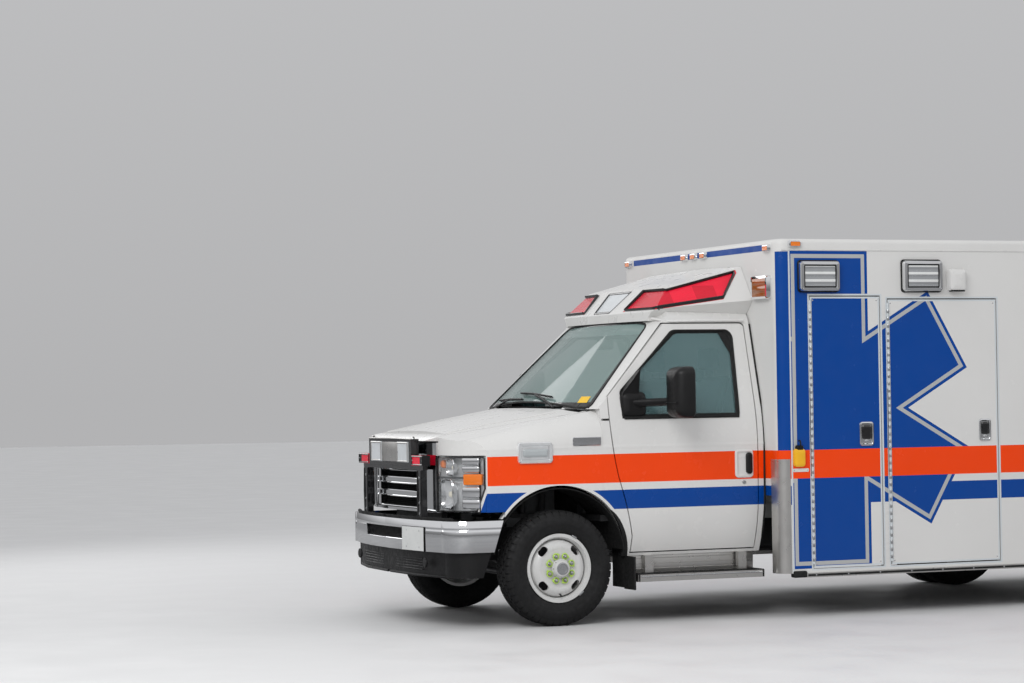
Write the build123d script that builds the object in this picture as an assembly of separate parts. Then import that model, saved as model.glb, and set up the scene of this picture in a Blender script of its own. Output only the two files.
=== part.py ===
"""Box-body ambulance on a cutaway van chassis, built as separate panels, doors, wheels and running gear.

Millimetres. Front of the vehicle towards -Y, its left side towards +X, Z up from the ground.
Every place below is measured from the front axle line; write() then moves it so that the origin is
the middle of the whole length.
"""

from build123d import *

import math
import os

# Overall
WHEELBASE = 4013
FRONT_OVERHANG = 838
REAR_OVERHANG = 1900
FRONT_TRACK = 1763
REAR_TRACK = 1880
GAP = 8
SEAT_GAP = 0.3
RUNNING_FIT = 0.05

# Cab body, from the side
CAB_REAR_Y = 1470
CAB_HALF_WIDTH = 1003
CAB_SILL_Z = 430
CAB_SHOULDER_Z = 1430
CAB_ROOF_Z = 2045
CAB_WALL = 50
DOOR_SKIN = 12
DOOR_REBATE = 16
MIRROR_X = CAB_HALF_WIDTH + 127
MIRROR_OUTER_X = MIRROR_X + 230
NOSE_SKIN = 25
FIREWALL_Y = 300
GLASS = 8
SEAT_X = 430
STEERING_WHEEL_RADIUS = 190
STEERING_RAKE = -35
WINDSCREEN_BASE_Z = 1410
WINDSCREEN_BASE_Y = 165
WINDSCREEN_BOW = 118
WINDSCREEN_RAKE = 43.5
WINDSCREEN_BASE_HALF = CAB_HALF_WIDTH - 131
WINDSCREEN_TOP_HALF = CAB_HALF_WIDTH - 335
WINDSCREEN_TOP_Z = 1950
CAB_FLOOR_Z = 700
CAB_FLOOR_THICK = 40
RETURN_SHARE = 0.6
FIREWALL_TOP_Z = 1378
CAB_HINGE_X = CAB_HALF_WIDTH - 43
CAB_HINGE_Y = 317
CAB_HINGE_ZS = (1130, 1285)
HINGE_HEIGHT = 36
PIN_RADIUS = 5

# Nose
BUMPER_FRONT_Y = -FRONT_OVERHANG
NOSE_FRONT_Y = BUMPER_FRONT_Y + 103
AHEAD_Y = BUMPER_FRONT_Y - 62
NOSE_REAR_Z = 1432
NOSE_FRONT_Z = 1236
HOOD_FRONT_Y = NOSE_FRONT_Y + 63
HOOD_REAR_Y = 130
HOOD_FRONT_HALF = CAB_HALF_WIDTH - 363
HOOD_REAR_HALF = CAB_HALF_WIDTH - 153
HOOD_HINGE_Y = 280
HOOD_HINGE_Z = 1358
HOOD_ARM_X = CAB_HALF_WIDTH - 243
HOOD_ARM_WIDTH = 14
FENDER_FOOT_Z = 745
LAMP_TOP_Z = 1107
LAMP_FOOT_Z = 742
LAMP_INNER_X = CAB_HALF_WIDTH - 397
LAMP_OUTER_Y = NOSE_FRONT_Y + 230
LAMP_DEPTH = 90
GRILLE_HALF = LAMP_INNER_X - GAP
GRILLE_TOP_Z = 1190
GRILLE_FOOT_Z = 737
GRILLE_SIDE = 120
GRILLE_DEPTH = 70
GRILLE_BARS = 3
GUARD_HALF = 585
GUARD_BAR_Z = 1040
GUARD_BOX_HALF = 415
GUARD_BOX_TOP_Z = 1212
GUARD_CLEAR_X = 260
DAM_FOOT_Z = 330
ARCH_RADIUS = 474
ARCH_Z = 430
FAIRING_REAR_Y = 1478

# Module
MODULE_FRONT_Y = 1480
REAR_STEP_REACH = 213
MODULE_HALF_WIDTH = 1219
MODULE_TOP_Z = 2490
MODULE_SKIRT_Z = 290
MODULE_WALL = 45
MODULE_FLOOR_Z = 850
MODULE_FLOOR_THICK = 50
ROOF_BAND = 72
DOOR_FOOT_Z = MODULE_SKIRT_Z + 26
DOOR_TOP_Z = MODULE_TOP_Z - 394
CUTTER = 100
POST_RADIUS = 75
POST_WIDTH = 90
ROOF_RADIUS = 30
HINGE_RADIUS = 7
HINGE_PIN = 3
HINGE_PROUD = 4
LOCKER_WALL = 8
LOCKER_DEPTH = 420
REAR_ARCH_RADIUS = 425
CAB_GAP_HALF = 1100
PASS_HALF = 240
PASS_FOOT_Z = 1250
PASS_TOP_Z = 1650
REAR_DOOR_HALF = 620
ENTRY_WINDOW_HALF = 230
PANE = 6
PANE_IN = 20
REAR_DOOR_FOOT_Z = MODULE_FLOOR_Z + 6
REAR_DOOR_TOP_Z = MODULE_TOP_Z - 160

# Wheels
TYRE_RADIUS = 372
TYRE_WIDTH = 223
RIM_RADIUS = 222
RIM_BARREL = 196
DISC_THICK = 13
DISC_FACE_RADIUS = 122
HAND_HOLE_RADIUS = 21
HAND_HOLE_HALF = 15
HAND_HOLE_PITCH = 156
BEAM_HALF = 38
BEAM_WEB_HALF = 14
BEAM_FLANGE = 22
BEAM_EYE_RADIUS = 44
BEAM_PAD = 90
KNUCKLE_EYE_RADIUS = 40
KNUCKLE_EAR = 34
STEERING_ARM_HALF = 20
STEERING_ARM_END_Y = 190
STEERING_ARM_THICK = 22
RIM_WIDTH = 176
TREAD_CROWN = 60
FRONT_DISC_X = 96
HAND_HOLES = 4
HUB_RADIUS = 62
DUAL_SPACING = 268
SPINDLE_RADIUS = 30
KINGPIN_RADIUS = 16
KINGPIN_OFFSET = 128
BEAM_Z = 330
BEAM_HEIGHT = 100
SPRING_TOP_Z = 560
LEAF_HALF = 620
LEAF_THICK = 45
AXLE_TUBE = 58
DIFF_RADIUS = 175
SHAFT_FRONT_Z = 438

# Frame
RAIL_OUTER = 432
RAIL_WIDTH = 70
RAIL_FOOT_Z = 440
RAIL_HEIGHT = 180
RAIL_WALL = 8
RAIL_FRONT_Y = BUMPER_FRONT_Y + 178
RAIL_REAR_SHORT = 40
SUPPORT_Y = RAIL_FRONT_Y + 60
SUPPORT_THICK = 40
SUPPORT_TOP_Z = 1150
PERCH_OUTER = 590
PERCH_HALF = 60
HANGER_OUTER = 525
HANGER_HALF = 35
COIL_X = 520
COIL_RADIUS = 62
LEAF_EYE_Z = 520
LEAF_DIP = 28
TANK_FOOT_Z = 400

# Engine and gearbox as plain blocks
ENGINE_HALF = 270
ENGINE_FRONT_Y = -400
ENGINE_REAR_Y = 270
ENGINE_FOOT_Z = 500
ENGINE_TOP_Z = 1060
MOUNT_Y = -90
MOUNT_HEIGHT = 60
GEARBOX_WIDTH = 230
GEARBOX_HEIGHT = 180
GEARBOX_Z = 505
TAIL_RADIUS = 62
SHAFT_RADIUS = 40
PINION_RADIUS = 60

# Dashboard, seats and steering wheel
DASH_FOOT_Z = 960
DASH_TOP_Z = 1372
SEAT_HALF = 250
SEAT_BASE_HALF = 190
SEAT_BASE_TOP_Z = 905
CUSHION_TOP_Z = 1040
BACK_TOP_Z = 1600
HEAD_HALF = 130
HEAD_TOP_Z = 1800

CROSS_MEMBERS = (
    RAIL_FRONT_Y + 160,
    CAB_REAR_Y - 290,
    (CAB_REAR_Y + WHEELBASE - 283) / 2,
    WHEELBASE - 613,
    WHEELBASE + 512,
    WHEELBASE + REAR_OVERHANG - 323,
)

# Bumpers and steps
BUMPER_HALF = CAB_HALF_WIDTH - 3
BUMPER_TOP_Z = 692
BUMPER_FOOT_Z = 492
BUMPER_SKIN = 40
BUMPER_SLOT_HALF = 414
PLATE_X = 478
PLATE_PITCH = 178
PLATE_HOLE_Z = 516
PLATE_HOLE_RADIUS = 3.5
STEP_TOP_Z = 312
STEP_FOOT_Z = 266
STEP_OUTER_X = CAB_HALF_WIDTH + 42

rear_end_y = WHEELBASE + REAR_OVERHANG
module_rear_y = rear_end_y - REAR_STEP_REACH
overall_length = FRONT_OVERHANG + WHEELBASE + REAR_OVERHANG
middle_y = rear_end_y - overall_length / 2
rail_top_z = RAIL_FOOT_Z + RAIL_HEIGHT
rake = math.radians(WINDSCREEN_RAKE)
HOOD_AXIS = (HOOD_HINGE_Y, HOOD_HINGE_Z)
solids = {}


def is_arc(step):
    return isinstance(step[0], tuple)


def outline(start, *steps):
    """A closed face on the XY plane: a step is a point for a line, or (via, end) for an arc."""
    here, edges = start, []
    for step in steps:
        if is_arc(step):
            edges.append(ThreePointArc(here, step[0], step[1]))
            here = step[1]
        elif math.dist(here, step) > 1e-6:
            edges.append(Line(here, step))
            here = step
    if math.dist(here, start) > 1e-6:
        edges.append(Line(here, start))
    return make_face(Wire(edges))


def symmetric(start, *steps):
    """A closed face from its half: start and the last step lie on the line x = 0."""
    places = [start] + [step[1] if is_arc(step) else step for step in steps]

    def flip(point):
        return (-point[0], point[1])

    back = []
    for number in range(len(steps) - 1, -1, -1):
        step, target = steps[number], flip(places[number])
        back.append((flip(step[0]), target) if is_arc(step) else target)
    return outline(start, *steps, *back)


def along_x(face, x0, x1):
    """Extrudes a face drawn in (y, z)."""
    return extrude(Plane.YZ.offset(x0) * face, amount=x1 - x0)


def along_y(face, y0, y1):
    """Extrudes a face drawn in (x, z)."""
    return extrude(Plane((0, y1, 0), x_dir=(1, 0, 0), z_dir=(0, -1, 0)) * face, amount=y1 - y0)


def along_z(face, z0, z1):
    """Extrudes a face drawn in (x, y)."""
    return extrude(Plane.XY.offset(z0) * face, amount=z1 - z0)


def block(x0, x1, y0, y1, z0, z1):
    return Pos((x0 + x1) / 2, (y0 + y1) / 2, (z0 + z1) / 2) * Box(x1 - x0, y1 - y0, z1 - z0)


def rod_x(radius, x0, x1, y, z):
    return Pos((x0 + x1) / 2, y, z) * Rot(0, 90, 0) * Cylinder(radius, x1 - x0)


def rod_z(radius, x, y, z0, z1):
    return Pos(x, y, (z0 + z1) / 2) * Cylinder(radius, z1 - z0)


def rod_between(radius, a, b):
    """A round bar from point a to point b."""
    a, b = Vector(*a), Vector(*b)
    return extrude(Plane(a, z_dir=b - a) * Circle(radius), amount=(b - a).length)


def flipped(shape):
    return mirror(shape, about=Plane.YZ)


def solids_of(shape):
    if isinstance(shape, (list, tuple)):
        return [solid for item in shape for solid in solids_of(item)]
    return list(shape.solids())


def side_block(side, x0, x1, y0, y1, z0, z1):
    return block(min(side * x0, side * x1), max(side * x0, side * x1), y0, y1, z0, z1)


def keep(name, *shapes):
    """Stores the solids of one node."""
    solids[name] = solids_of(shapes)


# Cab body


def cab_section(inset, foot):
    """The cab's cross-section in (x, z), smaller by inset, with its foot at the height given."""
    half, top = CAB_HALF_WIDTH - inset, CAB_ROOF_Z - inset
    return symmetric(
        (0, foot),
        (half - 96, foot),
        (half - 96, CAB_SILL_Z),
        ((half - 32, CAB_SILL_Z + 173), (half - 3, CAB_SILL_Z + 370)),
        (half, CAB_SHOULDER_Z - 330),
        ((half - 11, CAB_SHOULDER_Z - 164), (half - 43, CAB_SHOULDER_Z)),
        (half - 187, CAB_ROOF_Z - 105),
        ((half - 225, top - 40), (half - 310, top - 12)),
        (0, top),
    )


def ahead_of_windscreen(inset):
    """Everything in front of the raked, bowed windscreen surface moved back by inset."""
    foot_z, high_z, reach = 900, 2400, 1400
    shift = (foot_z - WINDSCREEN_BASE_Z) / math.tan(rake) + inset / math.sin(rake)
    base_y, bow = WINDSCREEN_BASE_Y + shift, WINDSCREEN_BOW * (reach / WINDSCREEN_BASE_HALF) ** 2
    face = outline(
        (-reach, -4000),
        (reach, -4000),
        (reach, base_y + bow),
        ((0, base_y), (-reach, base_y + bow)),
    )
    rise = (high_z - foot_z) / math.sin(rake)
    return extrude(Plane.XY.offset(foot_z) * face, amount=rise, dir=(0, math.cos(rake), math.sin(rake)))


def cabin(inset, foot=CAB_SILL_Z, overrun=0):
    """The cabin block behind the firewall and windscreen, smaller by inset."""
    body = along_y(cab_section(inset, foot), WINDSCREEN_BASE_Y - 60, CAB_REAR_Y + overrun)
    body -= ahead_of_windscreen(inset)
    wall_y = FIREWALL_Y + inset * RETURN_SHARE
    return body - block(-1400, 1400, AHEAD_Y, wall_y, 0, WINDSCREEN_BASE_Z - 20 + inset)


def windscreen_opening(margin):
    """A raked prism through the windscreen surface, smaller by margin on each edge."""
    base_half, top_half = WINDSCREEN_BASE_HALF - margin, WINDSCREEN_TOP_HALF - margin
    rise = (WINDSCREEN_TOP_Z - WINDSCREEN_BASE_Z) / math.sin(rake)
    face = symmetric(
        (0, margin),
        (base_half - 60, margin),
        ((base_half - 12, margin + 18), (base_half, margin + 60)),
        (top_half + 14, rise - 60 - margin),
        ((top_half - 10, rise - 20 - margin), (top_half - 60, rise - margin)),
        (0, rise - margin),
    )
    low = Vector(0, WINDSCREEN_BASE_Y + WINDSCREEN_BOW / 2, WINDSCREEN_BASE_Z)
    plane = Plane(low, x_dir=(1, 0, 0), z_dir=(0, -math.sin(rake), math.cos(rake)))
    return extrude(plane * face, amount=400, both=True)


def door_face(margin):
    """The cab door's outline in (y, z), smaller by margin."""
    rear, low, high = 1432 - margin, 448 + margin, 1952 - margin
    return outline(
        (rear, low),
        (rear, high - 30),
        ((rear - 9, high - 9), (rear - 30, high)),
        (830 + 0.8 * margin, high),
        (362 + 0.8 * margin, 1470),
        ((372 + margin, 1160), (412 + margin, 950)),
        ((478 + margin, 720), (520 + margin, 560)),
        (520 + margin, low),
    )


def window_face(margin):
    """The cab door window's outline in (y, z), smaller by margin."""
    return outline(
        (462 + margin, 1332 + margin),
        (1300 - margin, 1332 + margin),
        (1326 - margin, 1830),
        ((1310 - margin, 1882 - margin), (1262, 1898 - margin)),
        (922, 1898 - margin),
        ((892 + 0.7 * margin, 1890 - margin), (865 + 0.7 * margin, 1868 - 0.7 * margin)),
        (478 + 0.7 * margin, 1516 - 0.5 * margin),
        ((466 + margin, 1502 - 0.5 * margin), (462 + margin, 1480)),
    )


def door_layer(outer_inset, inner_inset, margin):
    """The door's material between two depths under the skin, inside the door outline less margin."""
    prism = along_x(door_face(margin), CAB_HALF_WIDTH - 400, CAB_HALF_WIDTH + 100)
    return (cabin(outer_inset) - cabin(inner_inset, foot=CAB_SILL_Z - 200, overrun=200)) & prism


def hinge_pocket():
    """The space inside the cab's front pillar where the door's cranked hinge arms turn."""
    x, y = CAB_HINGE_X, CAB_HINGE_Y
    pockets = [
        block(x - 78, x + 25, y - 12, y + 90, z - 6, z + HINGE_HEIGHT + 6) for z in CAB_HINGE_ZS
    ]
    return pockets[0] + pockets[1]


def hinge_pins():
    x, y = CAB_HINGE_X, CAB_HINGE_Y
    pins = [rod_z(PIN_RADIUS, x, y, z - 8, z + HINGE_HEIGHT + 8) for z in CAB_HINGE_ZS]
    return pins[0] + pins[1]


def hinge_arms():
    """The door's arms, cranked inboard round the pillar to the pins."""
    x, y = CAB_HINGE_X, CAB_HINGE_Y
    arms = None
    for z in CAB_HINGE_ZS:
        top = z + HINGE_HEIGHT
        arm = rod_z(PIN_RADIUS + 5, x, y, z, top)
        arm += block(x - 70, x, y - 7, y + 7, z, top)
        arm += block(x - 70, x - 56, y - 7, y + 124, z, top)
        arm += block(x - 70, x - 5, y + 108, y + 124, z, top)
        arm -= rod_z(PIN_RADIUS + RUNNING_FIT, x, y, z - 1, top + 1)
        arms = arm if arms is None else arms + arm
    return arms


def arch_cut():
    """The space of a front wheel under its arch."""
    return rod_x(ARCH_RADIUS, 440, 1200, 0, ARCH_Z)


def build_cab():
    """Floor, firewall, roof, side rings, windscreen, doors and their glass."""
    shell = cabin(0) - cabin(CAB_WALL, foot=CAB_SILL_Z - 100, overrun=100)
    shell -= windscreen_opening(0)
    opening = along_x(door_face(0), CAB_HALF_WIDTH - 400, CAB_HALF_WIDTH + 100)
    shell = shell - opening - flipped(opening)
    roof_cut = CAB_ROOF_Z - 78
    keep("cab_roof", shell & block(-1400, 1400, -400, 2000, roof_cut, 3000))
    lower = shell & block(CAB_HALF_WIDTH - 420, 1400, -400, 2000, 0, roof_cut - SEAT_GAP)
    ring = lower - arch_cut() - hinge_pocket() + hinge_pins()
    keep("cab_sides", ring, flipped(ring))

    floor_half = CAB_HALF_WIDTH - CAB_WALL - 66
    floor_foot = CAB_FLOOR_Z - CAB_FLOOR_THICK
    pillar_inner = CAB_HALF_WIDTH - 420 - SEAT_GAP
    return_y = FIREWALL_Y + CAB_WALL * RETURN_SHARE + SEAT_GAP
    floor = block(-floor_half, floor_half, return_y, CAB_REAR_Y, floor_foot, CAB_FLOOR_Z)
    floor += block(-pillar_inner, pillar_inner, FIREWALL_Y, return_y + 10, floor_foot, FIREWALL_TOP_Z)
    for side in (-1, 1):
        middle = side * (RAIL_OUTER - RAIL_WIDTH / 2)
        for y in (FIREWALL_Y + 120, CAB_REAR_Y - 220):
            floor += block(middle - 35, middle + 35, y, y + 90, rail_top_z, floor_foot)
    keep("cab_floor", floor)

    glass = cabin(2) - cabin(2 + GLASS, foot=CAB_SILL_Z - 100, overrun=100)
    glass &= windscreen_opening(SEAT_GAP)
    keep("windscreen", glass & block(-1400, 1400, -600, 1400, WINDSCREEN_BASE_Z - 10, 3000))

    window = along_x(window_face(0), CAB_HALF_WIDTH - 400, CAB_HALF_WIDTH + 100)
    leaf = door_layer(0, DOOR_SKIN, GAP) + door_layer(DOOR_SKIN, CAB_WALL + 1, GAP + DOOR_REBATE)
    leaf = leaf - window + hinge_arms()
    pane = cabin(14) - cabin(14 + GLASS - 2, overrun=100)
    pane &= along_x(window_face(SEAT_GAP), CAB_HALF_WIDTH - 400, CAB_HALF_WIDTH + 100)
    head = block(MIRROR_X, MIRROR_OUTER_X, 700, 810, 1330, 1660)
    arm = block(MIRROR_X - 150, MIRROR_X, 600, 740, 1405, 1455) + mirror_foot()
    mirror_shape = head + arm
    for side, turn in (("left", lambda shape: shape), ("right", flipped)):
        keep(f"cab_door_{side}", turn(leaf))
        keep(f"cab_door_glass_{side}", turn(pane))
        keep(f"mirror_{side}", turn(mirror_shape))


def mirror_foot():
    """The mirror arm's foot, shaped to the door's skin."""
    foot = block(900, MIRROR_X - 100, 455, 640, 1340, 1500)
    return foot - cabin(-SEAT_GAP)


# Nose


def nose_section(inset, front):
    """Half sections in (x, z) of the nose at its rear and front ends, smaller by inset."""
    half = CAB_HALF_WIDTH - inset
    if front:
        top, shoulder, crease = NOSE_FRONT_Z - inset, 1166 - inset, 1090
        return symmetric(
            (0, 300),
            (half - 20, 300),
            (half - 8, 700),
            (half - 5, crease),
            ((half - 30, shoulder - 20), (half - 130, shoulder + 10)),
            (620, top - 18),
            ((320, top - 4), (0, top)),
        )
    top, shoulder, crease = NOSE_REAR_Z - inset, 1370 - inset, 1150
    return symmetric(
        (0, 300),
        (half - 40, 300),
        (half, 800),
        (half, crease),
        ((half - 24, shoulder - 80), (half - 120, shoulder + 12)),
        (620, top - 18),
        ((320, top - 4), (0, top)),
    )


def nose(inset):
    """The nose block ahead of the firewall, smaller by inset."""
    rear_y = FIREWALL_Y - SEAT_GAP
    rear = Plane((0, rear_y, 0), x_dir=(1, 0, 0), z_dir=(0, -1, 0)) * nose_section(inset, False)
    front = Plane((0, NOSE_FRONT_Y - 25, 0), x_dir=(1, 0, 0), z_dir=(0, -1, 0)) * nose_section(inset, True)
    body = loft([rear, front], ruled=True)
    front_y, corner_y, half = NOSE_FRONT_Y + inset, LAMP_OUTER_Y + inset, CAB_HALF_WIDTH - inset
    plan = symmetric(
        (0, front_y),
        ((330, front_y + 10), (LAMP_INNER_X, front_y + 42)),
        ((880 - 0.6 * inset, front_y + 112), (half - 10, corner_y)),
        (half + 40, corner_y + 240),
        (half + 40, FIREWALL_Y + 10),
        (0, FIREWALL_Y + 10),
    )
    side = outline(
        (FIREWALL_Y + 10, 200),
        (FIREWALL_Y + 10, 1700),
        (HOOD_FRONT_Y + inset + 60, 1700),
        (HOOD_FRONT_Y + inset + 40, 1240),
        ((HOOD_FRONT_Y + inset - 30, 1215), (front_y + 6, 1150)),
        (front_y - 4, 745),
        (front_y - 4, 200),
    )
    return body & along_z(plan, 250, 1700) & along_x(side, -1100, 1100)


def hood_prism(margin):
    """The hood's outline from above, smaller by margin, as a tall prism."""
    rear = HOOD_REAR_Y - margin
    face = symmetric(
        (0, AHEAD_Y),
        (HOOD_FRONT_HALF - margin, AHEAD_Y),
        (HOOD_FRONT_HALF - margin, HOOD_FRONT_Y + 60),
        (HOOD_REAR_HALF - margin, rear + 90),
        ((HOOD_REAR_HALF * 0.55, rear + 27), (0, rear)),
    )
    return along_z(face, GRILLE_TOP_Z + margin, 1800)


def lamp_region(margin):
    """The headlamp's place in the nose, smaller by margin but seated at its back."""
    rear = LAMP_OUTER_Y - min(margin, SEAT_GAP)
    return block(LAMP_INNER_X + margin, 1100, AHEAD_Y, rear, LAMP_FOOT_Z + margin, LAMP_TOP_Z - margin)


def hood_arm_face():
    """A hood arm in (y, z), cranked so that it passes ahead of the windscreen's foot when it is up."""
    y, z = HOOD_AXIS
    return outline(
        (y + 9, z - 4),
        (y + 2, z - 44),
        (y - 75, z - 46),
        (y - 220, z - 40),
        (y - 220, z + 20),
        (y - 140, z + 20),
        (y - 80, z - 28),
        (y - 30, z - 28),
        (y - 9, z - 4),
    )


def build_nose():
    """Hood, fenders with wheel arches, grille, headlamps, cowl."""
    shell = nose(0) - nose(NOSE_SKIN)
    hood = shell & hood_prism(GAP)
    for side in (-1, 1):
        x0, x1 = side * HOOD_ARM_X, side * (HOOD_ARM_X + HOOD_ARM_WIDTH)
        low, high = min(x0, x1), max(x0, x1)
        arm = along_x(hood_arm_face(), low, high)
        arm += rod_x(PIN_RADIUS + 6, low, high, HOOD_HINGE_Y, HOOD_HINGE_Z)
        hood += (arm & nose(NOSE_SKIN - 4)) - rod_x(PIN_RADIUS + RUNNING_FIT, low - 1, high + 1, *HOOD_AXIS)
    keep("hood", hood)

    grille_zone = block(-GRILLE_HALF, GRILLE_HALF, AHEAD_Y, SUPPORT_Y + 100, 0, GRILLE_TOP_Z)
    wing = (shell & block(0, 1100, AHEAD_Y, FIREWALL_Y, 0, 2000)) - cabin(-SEAT_GAP)
    wing -= hood_prism(-1.5)
    wing -= block(0, LAMP_INNER_X - 4, AHEAD_Y, NOSE_FRONT_Y + 175, 0, GRILLE_TOP_Z + 2)
    wing -= lamp_region(0)
    wing -= block(0, 1100, AHEAD_Y, NOSE_FRONT_Y + 355, 0, FENDER_FOOT_Z)
    wing -= block(0, 700, AHEAD_Y, FIREWALL_Y, 0, 1000)
    wing -= block(0, HOOD_REAR_HALF - 18, HOOD_REAR_Y - 60, FIREWALL_Y + 5, 1200, 1800)
    liner = rod_x(ARCH_RADIUS + 10, 450, 975, 0, ARCH_Z) - rod_x(ARCH_RADIUS, 440, 985, 0, ARCH_Z)
    liner &= block(0, 1100, AHEAD_Y, FIREWALL_Y - 6, 700, 1000)
    wing = wing - arch_cut() + liner
    keep("fenders", wing, flipped(wing))

    lamp = (nose(3) - nose(3 + LAMP_DEPTH)) & lamp_region(4)
    keep("headlamps", lamp, flipped(lamp))

    panel = (nose(0) - nose(GRILLE_DEPTH)) & grille_zone
    panel &= block(-GRILLE_HALF, GRILLE_HALF, AHEAD_Y, SUPPORT_Y + 100, GRILLE_FOOT_Z, GRILLE_TOP_Z - 4)
    opening = GRILLE_HALF - GRILLE_SIDE - 58
    panel -= block(-opening, opening, AHEAD_Y, SUPPORT_Y + 100, GRILLE_FOOT_Z + 24, LAMP_TOP_Z)
    bar_pitch = (LAMP_TOP_Z - GRILLE_FOOT_Z - 24) / (GRILLE_BARS + 1)
    for number in range(GRILLE_BARS):
        z = GRILLE_FOOT_Z + 24 + bar_pitch * (number + 1)
        bar = block(-opening - 2, opening + 2, NOSE_FRONT_Y + 12, NOSE_FRONT_Y + 52, z - 19, z + 19)
        panel += bar
    for side in (-1, 1):
        tab = side * (RAIL_OUTER - RAIL_WIDTH / 2)
        panel += block(tab - 25, tab + 25, NOSE_FRONT_Y + 30, SUPPORT_Y - SEAT_GAP, LAMP_TOP_Z + 5, 1140)
    keep("grille", panel)

    rear = FIREWALL_Y - SEAT_GAP
    cowl = along_z(
        symmetric(
            (0, HOOD_REAR_Y + 6),
            ((HOOD_REAR_HALF * 0.55, HOOD_REAR_Y + 33), (HOOD_REAR_HALF - 30, HOOD_REAR_Y + 92)),
            (HOOD_REAR_HALF - 30, rear),
            (0, rear),
        ),
        HOOD_HINGE_Z - 12,
        HOOD_HINGE_Z + 24,
    )
    cowl &= nose(NOSE_SKIN + 6)
    for side in (-1, 1):
        slot = (side * (HOOD_ARM_X - 6), side * (HOOD_ARM_X + HOOD_ARM_WIDTH + 6))
        cowl -= block(min(slot), max(slot), 0, rear - 1, 1300, 1400)
        cowl += rod_x(PIN_RADIUS, min(slot) - 2, max(slot) + 2, *HOOD_AXIS)
    keep("cowl", cowl)


def bumper_ring(outer_y, half, skin):
    """The front bumper's outline from above, as a band of the skin's thickness."""

    def plan(inset):
        return symmetric(
            (0, outer_y + inset),
            ((half * 0.48, outer_y + inset + 22), (half * 0.83 - 0.4 * inset, outer_y + inset + 84)),
            ((half - 32 - inset, outer_y + inset + 148), (half - inset, outer_y + 262)),
            (half - inset, 0),
            (0, 0),
        )

    return plan(0) - plan(skin)


def build_front():
    """Bumper, air dam, guard with its lamps, and the steps below the doors."""
    bumper = along_z(bumper_ring(BUMPER_FRONT_Y, BUMPER_HALF, BUMPER_SKIN), BUMPER_FOOT_Z, BUMPER_TOP_Z)
    ends = outline((-459, BUMPER_FOOT_Z - 1), (-393, BUMPER_TOP_Z + 1), (200, 900), (200, 300))
    bumper -= along_x(ends, -1200, 1200)
    bumper -= block(-BUMPER_SLOT_HALF, BUMPER_SLOT_HALF, AHEAD_Y, SUPPORT_Y, 560, 636)
    for side in (-1, 1):
        middle = side * (RAIL_OUTER - RAIL_WIDTH / 2)
        bumper += block(middle - 30, middle + 30, BUMPER_FRONT_Y + 50, RAIL_FRONT_Y, 500, 600)
    for x in (PLATE_X - PLATE_PITCH / 2, PLATE_X + PLATE_PITCH / 2):
        bumper -= along_y(Pos(x, PLATE_HOLE_Z) * Circle(PLATE_HOLE_RADIUS), AHEAD_Y, NOSE_FRONT_Y + 35)
    keep("front_bumper", bumper)

    dam = along_z(bumper_ring(BUMPER_FRONT_Y + 30, BUMPER_HALF - 18, 24), DAM_FOOT_Z, BUMPER_FOOT_Z)
    ends = outline((-530, DAM_FOOT_Z - 1), (-470, BUMPER_FOOT_Z + 1), (200, 900), (200, 300))
    keep("air_dam", dam - along_x(ends, -1200, 1200))

    near, far = NOSE_FRONT_Y - 65, NOSE_FRONT_Y - 13
    guard = block(-GUARD_HALF, GUARD_HALF, near + 18, far, GUARD_BAR_Z - 28, GUARD_BAR_Z)
    guard += block(-GUARD_BOX_HALF, GUARD_BOX_HALF, near, far + 2, GUARD_BAR_Z, GUARD_BOX_TOP_Z)
    lamps = []
    foot, top = GUARD_BAR_Z + 18, GUARD_BOX_TOP_Z - 18
    for side in (-1, 1):
        post = side * (GUARD_HALF - 58)
        guard += block(post - 40, post + 40, near + 14, far, BUMPER_TOP_Z, GUARD_BAR_Z - 28)
        clear = side * GUARD_CLEAR_X
        guard -= block(clear - 105, clear + 105, near - 1, near + 30, foot, top)
        lamps.append(block(clear - 104, clear + 104, near - 4, near + 30 - SEAT_GAP, foot + 1, top - 1))
        low, high = GUARD_BAR_Z + SEAT_GAP, GUARD_BAR_Z + 66
        lamps.append(block(post - 103, post + 103, near, far, low, high))
    keep("grille_guard", guard)
    solids["warning_lamps"] = solids_of(lamps)

    step = block(CAB_HALF_WIDTH - 110, STEP_OUTER_X, 524, 1440, STEP_FOOT_Z, STEP_TOP_Z)
    for y in (620, 1300):
        step += block(CAB_HALF_WIDTH - 100, CAB_HALF_WIDTH - 60, y, y + 60, STEP_TOP_Z - 10, CAB_SILL_Z)
    keep("running_boards", step, flipped(step))


# Roof fairing


def fairing(inset):
    """The roof fairing's block, smaller by inset."""

    def section(top, top_half, wide, wide_z, tuck, tuck_z):
        return symmetric(
            (0, 1900),
            (tuck - inset, 1900),
            (tuck - inset, tuck_z),
            (wide - inset, wide_z),
            (top_half - inset, top - 12 - inset),
            (0, top - inset),
        )

    rear = Plane((0, FAIRING_REAR_Y, 0), x_dir=(1, 0, 0), z_dir=(0, -1, 0))
    front = Plane((0, 740, 0), x_dir=(1, 0, 0), z_dir=(0, -1, 0))
    body = loft(
        [
            rear * section(2343, 700, 866, 2098, 771, 2007),
            front * section(2154, 623, 738, 2040, 681, 1988),
        ],
        ruled=True,
    )
    edge = 747 + inset
    ahead = outline((-900, 300), (900, 300), (900, edge + 70), ((0, edge), (-900, edge + 70)))
    body -= along_z(ahead, 1800, 2026)
    body -= extrude(Plane.XY.offset(2026) * ahead, amount=700, dir=(0, 1, 1))
    return body


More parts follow.
